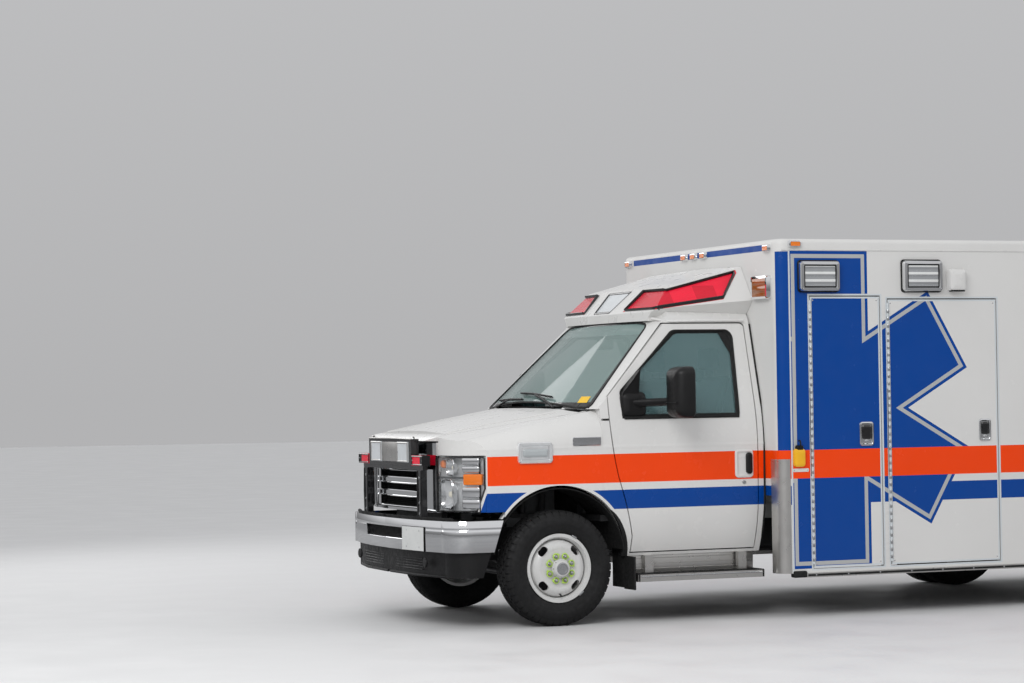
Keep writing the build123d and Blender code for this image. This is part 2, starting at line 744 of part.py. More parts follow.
def build_fairing():
    """The roof fairing with its centre lamp and two wrapped red lamps."""
    side_view = outline(
        (600, 2034),
        (830, 2042),
        (1288, 2106),
        (1436, 2286),
        (1436, 2308),
        (940, 2180),
        (600, 2180),
    )
    front_view = outline((310, 2000), (372, 2190), (372, 2400), (1000, 2400), (1000, 2000))
    red = along_x(side_view, 200, 1000) & along_y(front_view, 700, 1470)
    clear = along_y(symmetric((0, 2034), (131, 2034), (186, 2184), (0, 2184)), 700, 950)
    places = [red, flipped(red), clear]
    body = fairing(0) - cabin(-SEAT_GAP, foot=0, overrun=200)
    body -= block(-1400, 1400, 0, 2000, 0, 1968)
    recess = fairing(0) - fairing(40)
    lens = fairing(4) - fairing(40 - SEAT_GAP)
    for place in places:
        body -= recess & place
        solids["warning_lamps"] += solids_of(lens & place)
    keep("roof_fairing", body)


def build_inside():
    """Dashboard, seats and steering wheel."""
    half = CAB_HALF_WIDTH - CAB_WALL - 85
    dash = along_x(
        outline(
            (FIREWALL_Y + 41, DASH_FOOT_Z),
            (FIREWALL_Y + 41, DASH_TOP_Z - 32),
            (420, DASH_TOP_Z),
            ((560, DASH_TOP_Z - 22), (600, DASH_TOP_Z - 132)),
            (560, DASH_FOOT_Z + 130),
            (500, DASH_FOOT_Z),
        ),
        -half,
        half,
    )
    keep("dashboard", dash)

    seats = []
    for side in (-1, 1):
        middle = side * SEAT_X
        low, high = middle - SEAT_BASE_HALF, middle + SEAT_BASE_HALF
        base = block(low, high, 760, 1180, CAB_FLOOR_Z, SEAT_BASE_TOP_Z)
        low, high = middle - SEAT_HALF, middle + SEAT_HALF
        cushion = block(low, high, 720, 1210, SEAT_BASE_TOP_Z, CUSHION_TOP_Z)
        back = outline((1130, CUSHION_TOP_Z), (1245, CUSHION_TOP_Z), (1400, BACK_TOP_Z), (1310, BACK_TOP_Z))
        back = along_x(back, low, high)
        head = block(middle - HEAD_HALF, middle + HEAD_HALF, 1318, 1398, BACK_TOP_Z, HEAD_TOP_Z)
        seats += [base, cushion, back, head]
    keep("cab_seats", seats)

    tilt = math.radians(STEERING_RAKE)
    plane = Plane((SEAT_X, 690, 1230), x_dir=(1, 0, 0), z_dir=(0, math.sin(tilt), math.cos(tilt)))
    rim = Torus(STEERING_WHEEL_RADIUS, 14)
    spokes = Box(2 * STEERING_WHEEL_RADIUS - 10, 40, 16) + Pos(0, -95, 0) * Box(40, 180, 16)
    column = Pos(0, 0, -60) * Cylinder(32, 150)
    keep("steering_wheel", (plane * (rim + spokes + column)) - Pos(0, SEAT_GAP, 0) * dash - dash)


# Frame, engine and axles


def build_chassis():
    """Ladder frame, engine block, axles, springs and tank."""
    front, rear = RAIL_FRONT_Y, module_rear_y - RAIL_REAR_SHORT
    frame, support_rear = [], SUPPORT_Y + SUPPORT_THICK
    for side in (-1, 1):
        outer, inner = side * RAIL_OUTER, side * (RAIL_OUTER - RAIL_WIDTH)
        low, high = min(outer, inner), max(outer, inner)
        rail = block(low, high, front, rear, RAIL_FOOT_Z, rail_top_z)
        hollow = block(low, high, front - 1, rear + 1, RAIL_FOOT_Z + RAIL_WALL, rail_top_z - RAIL_WALL)
        rail -= Pos(-side * RAIL_WALL, 0, 0) * hollow
        rail += side_block(side, RAIL_OUTER, PERCH_OUTER, -PERCH_HALF, PERCH_HALF, SPRING_TOP_Z, rail_top_z)
        for y in (WHEELBASE - LEAF_HALF, WHEELBASE + LEAF_HALF):
            near, far = y - HANGER_HALF, y + HANGER_HALF
            rail += side_block(side, RAIL_OUTER, HANGER_OUTER, near, far, LEAF_EYE_Z, LEAF_EYE_Z + 80)
        rail += block(low, high, SUPPORT_Y, support_rear, rail_top_z, SUPPORT_TOP_Z)
        frame.append(rail)
    inside = RAIL_OUTER - RAIL_WALL
    for y in CROSS_MEMBERS:
        frame.append(block(-inside, inside, y - 35, y + 35, RAIL_FOOT_Z + 50, rail_top_z - 30))
    between = RAIL_OUTER - RAIL_WIDTH
    frame.append(block(-between, between, SUPPORT_Y, support_rear, rail_top_z - 40, SUPPORT_TOP_Z))
    keep("chassis_frame", frame)

    engine = block(-ENGINE_HALF, ENGINE_HALF, ENGINE_FRONT_Y, ENGINE_REAR_Y, ENGINE_FOOT_Z, ENGINE_TOP_Z)
    for side in (-1, 1):
        near, far = MOUNT_Y - 50, MOUNT_Y + 50
        engine += side_block(side, ENGINE_HALF - 20, RAIL_OUTER, near, far, rail_top_z, rail_top_z + MOUNT_HEIGHT)
    kingpin = FRONT_TRACK / 2 - KINGPIN_OFFSET
    low, high = BEAM_Z - BEAM_HEIGHT / 2, BEAM_Z + BEAM_HEIGHT / 2
    beam = block(-kingpin, kingpin, -BEAM_HALF, BEAM_HALF, low, high)
    pocket, foot, top = kingpin - BEAM_PAD, low + BEAM_FLANGE, high - BEAM_FLANGE
    beam -= block(-pocket, pocket, -BEAM_HALF - 22, -BEAM_WEB_HALF, foot, top)
    beam -= block(-pocket, pocket, BEAM_WEB_HALF, BEAM_HALF + 22, foot, top)
    for side in (-1, 1):
        beam += rod_z(BEAM_EYE_RADIUS, side * kingpin, 0, low, high)
        beam -= rod_z(KINGPIN_RADIUS + RUNNING_FIT, side * kingpin, 0, low - 1, high + 1)
    keep("front_axle", beam)

    springs = []
    for side in (-1, 1):
        springs.append(rod_z(COIL_RADIUS, side * COIL_X, 0, high, SPRING_TOP_Z))
        inner = side * (RAIL_OUTER + 10)
        outer = side * (RAIL_OUTER + 86)
        top = TYRE_RADIUS + AXLE_TUBE + LEAF_THICK + SEAT_GAP
        reach = LEAF_HALF
        eye_z = LEAF_EYE_Z - SEAT_GAP
        under = (eye_z + top) / 2 - LEAF_DIP
        over = under + 20
        leaf = outline(
            (WHEELBASE - reach, eye_z),
            ((WHEELBASE - reach / 2, under), (WHEELBASE, top - LEAF_THICK)),
            ((WHEELBASE + reach / 2, under), (WHEELBASE + reach, eye_z)),
            (WHEELBASE + reach - 60, eye_z),
            ((WHEELBASE + reach / 2, over), (WHEELBASE, top)),
            ((WHEELBASE - reach / 2, over), (WHEELBASE - reach + 60, eye_z)),
        )
        springs.append(along_x(leaf, min(inner, outer), max(inner, outer)))
    keep("springs", springs)

    spindle_end = rear_hub_outer() + 12
    axle = rod_x(AXLE_TUBE, -rear_hub_inner() + 20, rear_hub_inner() - 20, WHEELBASE, TYRE_RADIUS)
    axle += rod_x(SPINDLE_RADIUS + 15, -spindle_end, spindle_end, WHEELBASE, TYRE_RADIUS)
    for side in (-1, 1):
        seat = side * (RAIL_OUTER + 48)
        flat = TYRE_RADIUS + AXLE_TUBE
        axle += block(seat - 42, seat + 42, WHEELBASE - 45, WHEELBASE + 45, flat - 40, flat)
    axle += Pos(0, WHEELBASE, TYRE_RADIUS) * Rot(0, 90, 0) * Cylinder(DIFF_RADIUS, 200)
    pinion = WHEELBASE - DIFF_RADIUS - 60
    axle += rod_between(PINION_RADIUS, (0, WHEELBASE, TYRE_RADIUS), (0, pinion, TYRE_RADIUS))
    shaft_start = CROSS_MEMBERS[1] - 40
    axle += rod_between(SHAFT_RADIUS, (0, pinion + 5, TYRE_RADIUS), (0, shaft_start, SHAFT_FRONT_Z))
    keep("rear_axle", axle)
    casing = Pos(0, GEARBOX_Z) * Rectangle(GEARBOX_WIDTH, GEARBOX_HEIGHT)
    gearbox = along_y(casing, ENGINE_REAR_Y - 10, shaft_start - 300)
    gearbox += along_y(Pos(0, SHAFT_FRONT_Z + 20) * Circle(TAIL_RADIUS), 500, shaft_start - 8)
    keep("engine_block", engine + gearbox)

    tank_half = RAIL_OUTER - RAIL_WIDTH - SEAT_GAP
    tank_front, tank_rear = WHEELBASE + 560, rear - 160
    keep("fuel_tank", block(-tank_half, tank_half, tank_front, tank_rear, TANK_FOOT_Z, rail_top_z - 20))


# Wheels


def tyre(radius, width, bead):
    """A tyre as a body of revolution about X, centred on the origin."""
    half, seat = width / 2, RIM_WIDTH / 2 - 20.3
    lip = RIM_RADIUS + SEAT_GAP
    profile = outline(
        (-seat, bead),
        (seat, bead),
        (seat, lip),
        (half - 20, lip + 6),
        ((half - 2, (radius + bead) / 2 - 20), (half, (radius + bead) / 2 + 8)),
        (half - 12, radius - 34),
        ((half - 17, radius - 12), (half - 36, radius - 4)),
        (TREAD_CROWN, radius),
        (-TREAD_CROWN, radius),
        (-half + 36, radius - 4),
        ((-half + 17, radius - 12), (-half + 12, radius - 34)),
        (-half, (radius + bead) / 2 + 8),
        ((-half + 2, (radius + bead) / 2 - 20), (-half + 20, lip + 6)),
        (-seat, lip),
    )
    return revolve(profile, Axis.X)


def rim(disc_x, hub_x0, hub_x1, bore):
    """A dished steel rim on its hub, as a body of revolution about X with four hand holes."""
    half = RIM_WIDTH / 2
    barrel = outline(
        (-half, RIM_BARREL + 6),
        (-half, RIM_RADIUS),
        (-half + 12, RIM_RADIUS),
        (-half + 20, RIM_BARREL + 6),
        (half - 20, RIM_BARREL + 6),
        (half - 12, RIM_RADIUS),
        (half, RIM_RADIUS),
        (half, RIM_BARREL + 6),
        (half - 26, RIM_BARREL - 6),
        (-half + 26, RIM_BARREL - 6),
    )
    dish = outline(
        (half - 78, RIM_BARREL - 3),
        (half - 66, RIM_BARREL - 3),
        (disc_x - 26, 178),
        ((disc_x - 6, 160), (disc_x, DISC_FACE_RADIUS)),
        (disc_x, bore + 4),
        (disc_x - DISC_THICK, bore + 4),
        (disc_x - DISC_THICK, DISC_FACE_RADIUS),
        ((disc_x - 19, 150), (disc_x - 36, 166)),
        (half - 78, RIM_BARREL - 16),
    )
    wheel = revolve(barrel, Axis.X) + revolve(dish, Axis.X)
    for number in range(HAND_HOLES):
        turn = Rot(360 / HAND_HOLES * number + 45, 0, 0)
        hole = Rot(0, 90, 0) * Cylinder(HAND_HOLE_RADIUS, 400)
        slot = Pos(0, -HAND_HOLE_HALF, HAND_HOLE_PITCH) * hole + Pos(0, HAND_HOLE_HALF, HAND_HOLE_PITCH) * hole
        slot += Pos(0, 0, HAND_HOLE_PITCH) * Box(400, 2 * HAND_HOLE_HALF, 2 * HAND_HOLE_RADIUS)
        wheel -= turn * slot
    hub = outline((hub_x0, bore), (hub_x1, bore), (hub_x1, HUB_RADIUS), (hub_x0, HUB_RADIUS))
    return wheel + revolve(hub, Axis.X)


def rear_hub_outer():
    return REAR_TRACK / 2 + 120


def rear_hub_inner():
    return REAR_TRACK / 2 - 90


def build_wheels():
    """Tyres, rims and steering knuckles."""
    bead = RIM_BARREL + 6.3
    spindle = SPINDLE_RADIUS + RUNNING_FIT
    x = FRONT_TRACK / 2
    kingpin = x - KINGPIN_OFFSET
    front_rim = rim(FRONT_DISC_X, -30, FRONT_DISC_X + 22, spindle)
    for side, turn in (("left", lambda shape: shape), ("right", flipped)):
        keep(f"tyre_front_{side}", turn(Pos(x, 0, TYRE_RADIUS) * tyre(TYRE_RADIUS, TYRE_WIDTH, bead)))
        keep(f"rim_front_{side}", turn(Pos(x, 0, TYRE_RADIUS) * front_rim))

        low, high = BEAM_Z - BEAM_HEIGHT / 2, BEAM_Z + BEAM_HEIGHT / 2
        knuckle = rod_z(KINGPIN_RADIUS, kingpin, 0, low - 20, high + 20)
        foot = low - KNUCKLE_EAR
        for z0, z1 in ((foot, low - SEAT_GAP), (high + SEAT_GAP, high + KNUCKLE_EAR)):
            knuckle += rod_z(KNUCKLE_EYE_RADIUS, kingpin, 0, z0, z1)
            knuckle += block(kingpin, kingpin + 75, -BEAM_HALF, BEAM_HALF, z0, z1)
        knuckle += block(kingpin + 52, kingpin + 78, -55, 55, foot, high + 60)
        knuckle += rod_x(SPINDLE_RADIUS + 14, kingpin + 60, x - 36, 0, TYRE_RADIUS)
        knuckle += rod_x(SPINDLE_RADIUS, kingpin + 60, x + FRONT_DISC_X + 10, 0, TYRE_RADIUS)
        near, far = kingpin - STEERING_ARM_HALF, kingpin + STEERING_ARM_HALF
        knuckle += block(near, far, 30, STEERING_ARM_END_Y, foot, foot + STEERING_ARM_THICK)
        keep(f"knuckle_{side}", turn(knuckle))

        tyres, rims = [], []
        reach = DUAL_SPACING / 2
        axle_bore = SPINDLE_RADIUS + 15 + RUNNING_FIT
        inner_rim = rim(reach - SEAT_GAP, reach - 90, reach - SEAT_GAP, axle_bore)
        outer_rim = mirror(rim(reach, reach - 120, reach, axle_bore), about=Plane.YZ)
        for shift, one in ((reach, outer_rim), (-reach, inner_rim)):
            place = Pos(REAR_TRACK / 2 + shift, WHEELBASE, TYRE_RADIUS)
            tyres.append(turn(place * tyre(TYRE_RADIUS, TYRE_WIDTH, bead)))
            rims.append(turn(place * one))
        keep(f"tyres_rear_{side}", tyres)
        keep(f"rims_rear_{side}", rims)


# Module


def module_block(inset, z0, z1):
    """The module's rounded outline from above, smaller by inset, between two heights."""
    half, length = MODULE_HALF_WIDTH - inset, module_rear_y - MODULE_FRONT_Y - 2 * inset
    radius = max(POST_RADIUS - inset, 12)
    middle = (MODULE_FRONT_Y + module_rear_y) / 2
    return extrude(Plane((0, middle, z0)) * RectangleRounded(2 * half, length, radius), amount=z1 - z0)


def knuckles(x, y, z0, z1):
    """A piano hinge about the vertical line at x, y: wall knuckles with pin, door knuckle, reliefs."""
    third = (z1 - z0) / 3
    spans = ((z0, z0 + third), (z0 + third, z1 - third), (z1 - third, z1))
    low, middle, high = spans
    wall = rod_z(HINGE_RADIUS, x, y, *low) + rod_z(HINGE_RADIUS, x, y, *high)
    wall += rod_z(HINGE_PIN, x, y, low[0], high[1])
    door = rod_z(HINGE_RADIUS, x, y, middle[0] + 1, middle[1] - 1)
    bore = rod_z(HINGE_PIN + RUNNING_FIT, x, y, *middle)
    wall_relief = rod_z(HINGE_RADIUS + 5, x, y, middle[0] - 0.5, middle[1] + 0.5)
    door_relief = rod_z(HINGE_RADIUS + 5, x, y, *low) + rod_z(HINGE_RADIUS + 5, x, y, *high)
    return wall, door, bore, wall_relief, door_relief


def hang(wall_node, door, x, y, z0, z1):
    """Adds a piano hinge to a wall kept before and returns the door with its half of it."""
    wall, knuckle, bore, wall_relief, door_relief = knuckles(x, y, z0, z1)
    pieces = [piece - wall_relief for piece in solids[wall_node]]
    nearest = min(pieces, key=lambda piece: piece.distance_to(wall))
    others = [piece for piece in pieces if piece is not nearest]
    solids[wall_node] = solids_of([nearest + wall] + others)
    return (door - door_relief) + (knuckle - bore) - bore


# Each side opening: name, side, front edge, rear edge, foot, top
SIDE_OPENINGS = (
    ("locker_door_front_left", 1, MODULE_FRONT_Y + 231, MODULE_FRONT_Y + 767, DOOR_FOOT_Z, DOOR_TOP_Z + 19),
    ("locker_door_middle_left", 1, MODULE_FRONT_Y + 818, MODULE_FRONT_Y + 1671, DOOR_FOOT_Z, DOOR_TOP_Z),
    ("locker_door_rear_left", 1, WHEELBASE + 547, WHEELBASE + 1317, DOOR_FOOT_Z, DOOR_TOP_Z),
    ("entry_door", -1, MODULE_FRONT_Y + 818, MODULE_FRONT_Y + 1671, DOOR_FOOT_Z, DOOR_TOP_Z),
)


# Each scene lamp on a side wall: middle along the side, width, height
SCENE_LAMPS = (
    (MODULE_FRONT_Y + 300, 279, 188),
    (MODULE_FRONT_Y + 1083, 285, 195),
    (WHEELBASE + 1137, 285, 195),
)
SCENE_LAMP_FOOT_Z = DOOR_TOP_Z + 52
SCENE_LAMP_DEPTH = 36
MARKER_DEPTH = 22
TAIL_LAMP_FOOT_Z = 900
RUB_RAIL_HEIGHT = 28
STONE_GUARD_TOP_Z = 1040
REAR_STEP_TOP_Z = 530
REAR_FLAP_WIDTH = 465


def build_module():
    """Floor, walls, roof, lockers and doors of the patient module."""
    half, wall = MODULE_HALF_WIDTH, MODULE_WALL
    band_z = MODULE_TOP_Z - ROOF_BAND
    front, rear = MODULE_FRONT_Y, module_rear_y
    shell = module_block(0, MODULE_SKIRT_Z, band_z - SEAT_GAP) - module_block(wall, 0, MODULE_TOP_Z + CUTTER)
    roof = module_block(0, band_z, MODULE_TOP_Z)
    roof = fillet(roof.faces().sort_by(Axis.Z)[-1].edges(), ROOF_RADIUS)
    keep("module_roof", roof - module_block(wall, band_z - 1, MODULE_TOP_Z - wall))

    post_x = half - POST_WIDTH
    arch = rod_x(REAR_ARCH_RADIUS, -half - CUTTER, half + CUTTER, WHEELBASE, TYRE_RADIUS)
    for label, side in (("left", 1), ("right", -1)):
        panel = (shell & side_block(side, post_x, half + 10, 0, rear + CUTTER, 0, MODULE_TOP_Z)) - arch
        for name, at_side, y0, y1, z0, z1 in SIDE_OPENINGS:
            if at_side == side:
                panel -= side_block(side, post_x - 10, half + 10, y0, y1, z0, z1)
        keep(f"module_side_{label}", panel)

    ends = shell & block(-post_x + SEAT_GAP, post_x - SEAT_GAP, 0, rear + CUTTER, 0, MODULE_TOP_Z)
    ends -= block(-CAB_GAP_HALF, CAB_GAP_HALF, 0, rear + 10, 0, MODULE_FLOOR_Z - MODULE_FLOOR_THICK - SEAT_GAP)
    front_wall = ends & block(-post_x, post_x, front - 10, front + wall + 10, 0, MODULE_TOP_Z)
    ends -= block(-post_x, post_x, front - 10, front + wall + 10, 0, MODULE_TOP_Z)
    door_half = REAR_DOOR_HALF
    ends -= block(-door_half, door_half, rear - wall - 10, rear + 10, REAR_DOOR_FOOT_Z, REAR_DOOR_TOP_Z)
    panels = [
        front_wall & block(-post_x, -PASS_HALF, 0, rear, 0, MODULE_TOP_Z),
        front_wall & block(PASS_HALF, post_x, 0, rear, 0, MODULE_TOP_Z),
        front_wall & block(-PASS_HALF, PASS_HALF, 0, rear, 0, PASS_FOOT_Z),
        front_wall & block(-PASS_HALF, PASS_HALF, 0, rear, PASS_TOP_Z, MODULE_TOP_Z),
    ]
    keep("module_ends", ends, *panels)

    inner = half - wall - SEAT_GAP
    low = MODULE_FLOOR_Z - MODULE_FLOOR_THICK
    ahead, behind = front + wall + SEAT_GAP, rear - wall - SEAT_GAP
    floor = module_block(wall + SEAT_GAP, low, MODULE_FLOOR_Z)
    for side in (-1, 1):
        rail = (RAIL_OUTER - RAIL_WIDTH, RAIL_OUTER)
        floor += side_block(side, *rail, ahead + 20, behind - 20, rail_top_z, low)
    for y in (front + 120, front + 790, WHEELBASE - 663, WHEELBASE + 487, rear - 300):
        floor += block(-inner + 30, inner - 30, y - 18, y + 18, low - 60, low)
    lockers, depth = [], LOCKER_DEPTH
    for name, side, y0, y1, z0, z1 in SIDE_OPENINGS:
        box_foot = z0 + 14
        back = inner - depth
        top = z1 - 10 if "locker" in name else MODULE_FLOOR_Z - 60
        outer = side_block(side, back, inner, y0 - 8, y1 + 8, box_foot - 8, top + 8)
        room = side_block(side, back + LOCKER_WALL, inner + 1, y0, y1, box_foot, top)
        floor -= side_block(side, back - 1, inner + 9, y0 - 9, y1 + 9, box_foot - 9, top + 9)
        if "locker" in name:
            lockers.append(outer - room)
        else:
            floor -= side_block(side, back - 1, inner + 9, y0 - 9, y1 + 9, 0, MODULE_FLOOR_Z + 9)
            well = side_block(side, back, inner, y0 - 8, y1 + 8, box_foot - 8, MODULE_FLOOR_Z)
            lockers.append(well - side_block(side, back + LOCKER_WALL, inner + 1, y0, y1, box_foot, z1))
    keep("module_floor", floor)
    keep("lockers", lockers)

    for name, side, y0, y1, z0, z1 in SIDE_OPENINGS:
        leaf = side_block(side, half - wall, half, y0 + GAP, y1 - GAP, z0 + GAP, z1 - GAP)
        wall_node = "module_side_left" if side > 0 else "module_side_right"
        hinge_x = side * (half + HINGE_PROUD)
        leaf = hang(wall_node, leaf, hinge_x, y0 + GAP / 2, z0 + 30, z1 - 30)
        if name == "entry_door":
            y_mid, low_z, high_z = (y0 + y1) / 2, z1 - 696, z1 - 136
            near, far = y_mid - ENTRY_WINDOW_HALF, y_mid + ENTRY_WINDOW_HALF
            leaf -= side_block(side, half - wall - 1, half + 1, near, far, low_z, high_z)
            near, far = near + SEAT_GAP, far - SEAT_GAP
            low_z, high_z = low_z + SEAT_GAP, high_z - SEAT_GAP
            keep("entry_door_glass", side_block(side, half - PANE_IN - PANE, half - PANE_IN, near, far, low_z, high_z))
        keep(name, leaf)

    for label, side in (("left", 1), ("right", -1)):
        leaf = side_block(
            side, 5, door_half - GAP, rear - wall, rear, REAR_DOOR_FOOT_Z + GAP, REAR_DOOR_TOP_Z - GAP
        )
        low_z, high_z = REAR_DOOR_TOP_Z - 830, REAR_DOOR_TOP_Z - 330
        near, far = 110, door_half - 120
        leaf -= side_block(side, near, far, rear - wall - 1, rear + 1, low_z, high_z)
        hinge_x = side * (door_half - GAP / 2)
        foot, top = REAR_DOOR_FOOT_Z + 30, REAR_DOOR_TOP_Z - 30
        leaf = hang("module_ends", leaf, hinge_x, rear + HINGE_PROUD, foot, top)
        near, far = near + SEAT_GAP, far - SEAT_GAP
        low_z, high_z = low_z + SEAT_GAP, high_z - SEAT_GAP
        pane = side_block(side, near, far, rear - PANE_IN - PANE, rear - PANE_IN, low_z, high_z)
        keep(f"rear_door_{label}", leaf)
        keep(f"rear_door_glass_{label}", pane)


def build_module_trim():
    """Rub rails, corner guards, rear step, lamps and mud flaps."""
    half, front, rear = MODULE_HALF_WIDTH, MODULE_FRONT_Y, module_rear_y
    pieces = []
    arch_y = math.sqrt(REAR_ARCH_RADIUS**2 - (TYRE_RADIUS - MODULE_SKIRT_Z) ** 2) + 20
    rail_z = MODULE_SKIRT_Z - SEAT_GAP
    for side in (-1, 1):
        for y0, y1 in ((front + 177, WHEELBASE - arch_y), (WHEELBASE + arch_y, rear - 90)):
            pieces.append(side_block(side, half - 40, half + 14, y0, y1, rail_z - RUB_RAIL_HEIGHT, rail_z))
        guard = module_block(-3, MODULE_SKIRT_Z, STONE_GUARD_TOP_Z)
        guard -= module_block(-SEAT_GAP, 0, STONE_GUARD_TOP_Z + CUTTER)
        guard &= side_block(side, half - 129, half + CUTTER, front - 20, front + 72, 0, STONE_GUARD_TOP_Z)
        pieces.append(guard)
    step_half = half - 119
    step = block(-step_half, step_half, rear + 14, rear_end_y, REAR_STEP_TOP_Z - 60, REAR_STEP_TOP_Z)
    arm_foot, arm_top = RAIL_FOOT_Z + 15, rail_top_z - 20
    for side in (-1, 1):
        arm_y0, arm_y1 = rear - RAIL_REAR_SHORT + SEAT_GAP, rear_end_y - 60
        step += side_block(side, RAIL_OUTER - RAIL_WIDTH, RAIL_OUTER, arm_y0, arm_y1, arm_foot, arm_top)
    pieces.append(step)
    keep("body_guards", pieces)

    lamps = []
    lamp_x = half + SEAT_GAP
    for y, width, height in SCENE_LAMPS:
        z0 = SCENE_LAMP_FOOT_Z
        for side in (-1, 1):
            near, far = y - width / 2, y + width / 2
            lamps.append(side_block(side, lamp_x, lamp_x + SCENE_LAMP_DEPTH, near, far, z0, z0 + height))
    box_foot = MODULE_TOP_Z - 388
    for side in (-1, 1):
        near, far = half - 499, half - 279
        lamps.append(side_block(side, near, far, rear + SEAT_GAP, rear + SCENE_LAMP_DEPTH, box_foot, box_foot + 170))
        near, far = half - 310, half - 94
        lamps.append(side_block(side, near, far, front - SCENE_LAMP_DEPTH, front - SEAT_GAP, box_foot, box_foot + 146))
    keep("scene_lamps", lamps)

    markers = []
    marker_foot, outer_marker = MODULE_TOP_Z - ROOF_BAND - 2, half - 129
    for x in (-outer_marker, -150, 0, 150, outer_marker):
        for y0, y1 in ((front - MARKER_DEPTH, front - SEAT_GAP), (rear + SEAT_GAP, rear + MARKER_DEPTH)):
            markers.append(block(x - 38, x + 38, y0, y1, marker_foot, marker_foot + 34))
    for side in (-1, 1):
        near, far, foot = front + 87, front + 163, MODULE_TOP_Z - 52
        markers.append(side_block(side, lamp_x, half + MARKER_DEPTH, near, far, foot, foot + 34))
        for number in range(3):
            foot = TAIL_LAMP_FOOT_Z + 160 * number
            markers.append(side_block(side, half - 259, half - 119, rear + SEAT_GAP, rear + 30, foot, foot + 140))
    keep("marker_lamps", markers)

    flaps = []
    flap_outer = half - MODULE_WALL - 9
    floor_foot = MODULE_FLOOR_Z - MODULE_FLOOR_THICK - SEAT_GAP
    for side in (-1, 1):
        near, far = CAB_HALF_WIDTH - 123, CAB_HALF_WIDTH + 37
        flaps.append(side_block(side, near, far, ARCH_RADIUS + 23, ARCH_RADIUS + 35, 215, CAB_SILL_Z - SEAT_GAP))
        near, far = flap_outer - REAR_FLAP_WIDTH, flap_outer
        flap_y = WHEELBASE + REAR_ARCH_RADIUS + 15
        flaps.append(side_block(side, near, far, flap_y, flap_y + 10, 150, floor_foot))
    keep("mud_flaps", flaps)


build_cab()
build_nose()
build_front()
build_fairing()
build_inside()
build_chassis()
build_wheels()
build_module()
build_module_trim()


def write():
    os.makedirs("parts", exist_ok=True)
    for name, shapes in solids.items():
        moved = [Pos(0, -middle_y, 0) * shape for shape in shapes]
        export_step(Compound(children=moved) if len(moved) > 1 else moved[0], f"parts/{name}.step")


write()
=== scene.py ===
"""The looks of a box-body ambulance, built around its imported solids.

Meshes are built in millimetres, with Y measured from the front axle line, and written out in the frame's
metres. Materials are worked out from the object's own coordinates, in metres.
"""

import math

import bmesh
import bpy
from mathutils import Matrix, Vector


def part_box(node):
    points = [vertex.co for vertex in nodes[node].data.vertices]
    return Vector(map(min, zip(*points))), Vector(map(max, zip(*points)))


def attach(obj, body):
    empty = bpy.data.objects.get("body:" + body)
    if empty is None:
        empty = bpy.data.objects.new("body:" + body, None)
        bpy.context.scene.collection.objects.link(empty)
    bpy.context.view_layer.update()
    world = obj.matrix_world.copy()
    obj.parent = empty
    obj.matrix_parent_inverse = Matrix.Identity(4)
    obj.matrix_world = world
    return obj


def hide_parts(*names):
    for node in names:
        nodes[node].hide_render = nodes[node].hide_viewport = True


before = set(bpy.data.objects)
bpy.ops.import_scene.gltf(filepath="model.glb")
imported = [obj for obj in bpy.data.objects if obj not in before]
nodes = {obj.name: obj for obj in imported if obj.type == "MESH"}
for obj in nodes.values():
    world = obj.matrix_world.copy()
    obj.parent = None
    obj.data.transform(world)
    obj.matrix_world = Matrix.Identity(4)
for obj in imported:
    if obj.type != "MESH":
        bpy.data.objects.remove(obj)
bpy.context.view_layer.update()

SIDES = ((1, "left"), (-1, "right"))
AXLE_Y = sum(corner.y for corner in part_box("front_axle")) / 2
TO_FRAME = Matrix.Translation((0, AXLE_Y, 0)) @ Matrix.Scale(0.001, 4)
TO_MM = TO_FRAME.inverted()


def size_mm(node):
    """A CAD node's lowest and highest corners, in millimetres from the front axle line."""
    low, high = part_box(node)
    return TO_MM @ low, TO_MM @ high


# Driving places, millimetres
SIDE = size_mm("module_side_left")[1].x - 11
ROOF_LOW, ROOF_HIGH = size_mm("module_roof")
MODULE_FRONT, MODULE_REAR, MODULE_TOP, ROOF_BAND_Z = ROOF_LOW.y, ROOF_HIGH.y, ROOF_HIGH.z, ROOF_LOW.z
REAR_AXLE = sum(corner.y for corner in size_mm("tyres_rear_left")) / 2
WHEEL_R = size_mm("tyre_front_left")[1].z / 2
ORANGE_Z, BLUE_Z = (912, 1098), (741, 865)
# The front wheel arch, and the line along which film and lens end at the front: y = slope * z + foot
ARCH_Z, ARCH_R = 430, 470
FRONT_SLOPE, FILM_FOOT, LENS_FOOT = 0.30, -0.7605, -0.7745


def put(axis, u, v, along):
    """A point of an outline that faces along an axis: (u, v) is (y, z) for X, (x, z) for Y, (x, y) for Z."""
    return {"X": (along, u, v), "Y": (u, along, v), "Z": (u, v, along)}[axis]


def sided(side, *points):
    """Points given for the left side, moved to either side."""
    return [(side * x, y, z) for x, y, z in points]


def polar(centre, radius, angle, along=0.0):
    """A place round the X axis through centre; its angle runs from the top to the back."""
    x, y, z = centre
    return x + along, y + radius * math.sin(angle), z + radius * math.cos(angle)


def turns(count, shift=0.0):
    """Angles that share a full turn evenly."""
    return [math.tau * (k + shift) / count for k in range(count)]


# Steps round each corner of a moulded form, and the least angle of a CAD node's edge that counts as sharp
CORNER_STEPS, SHARP = 5, math.radians(50)


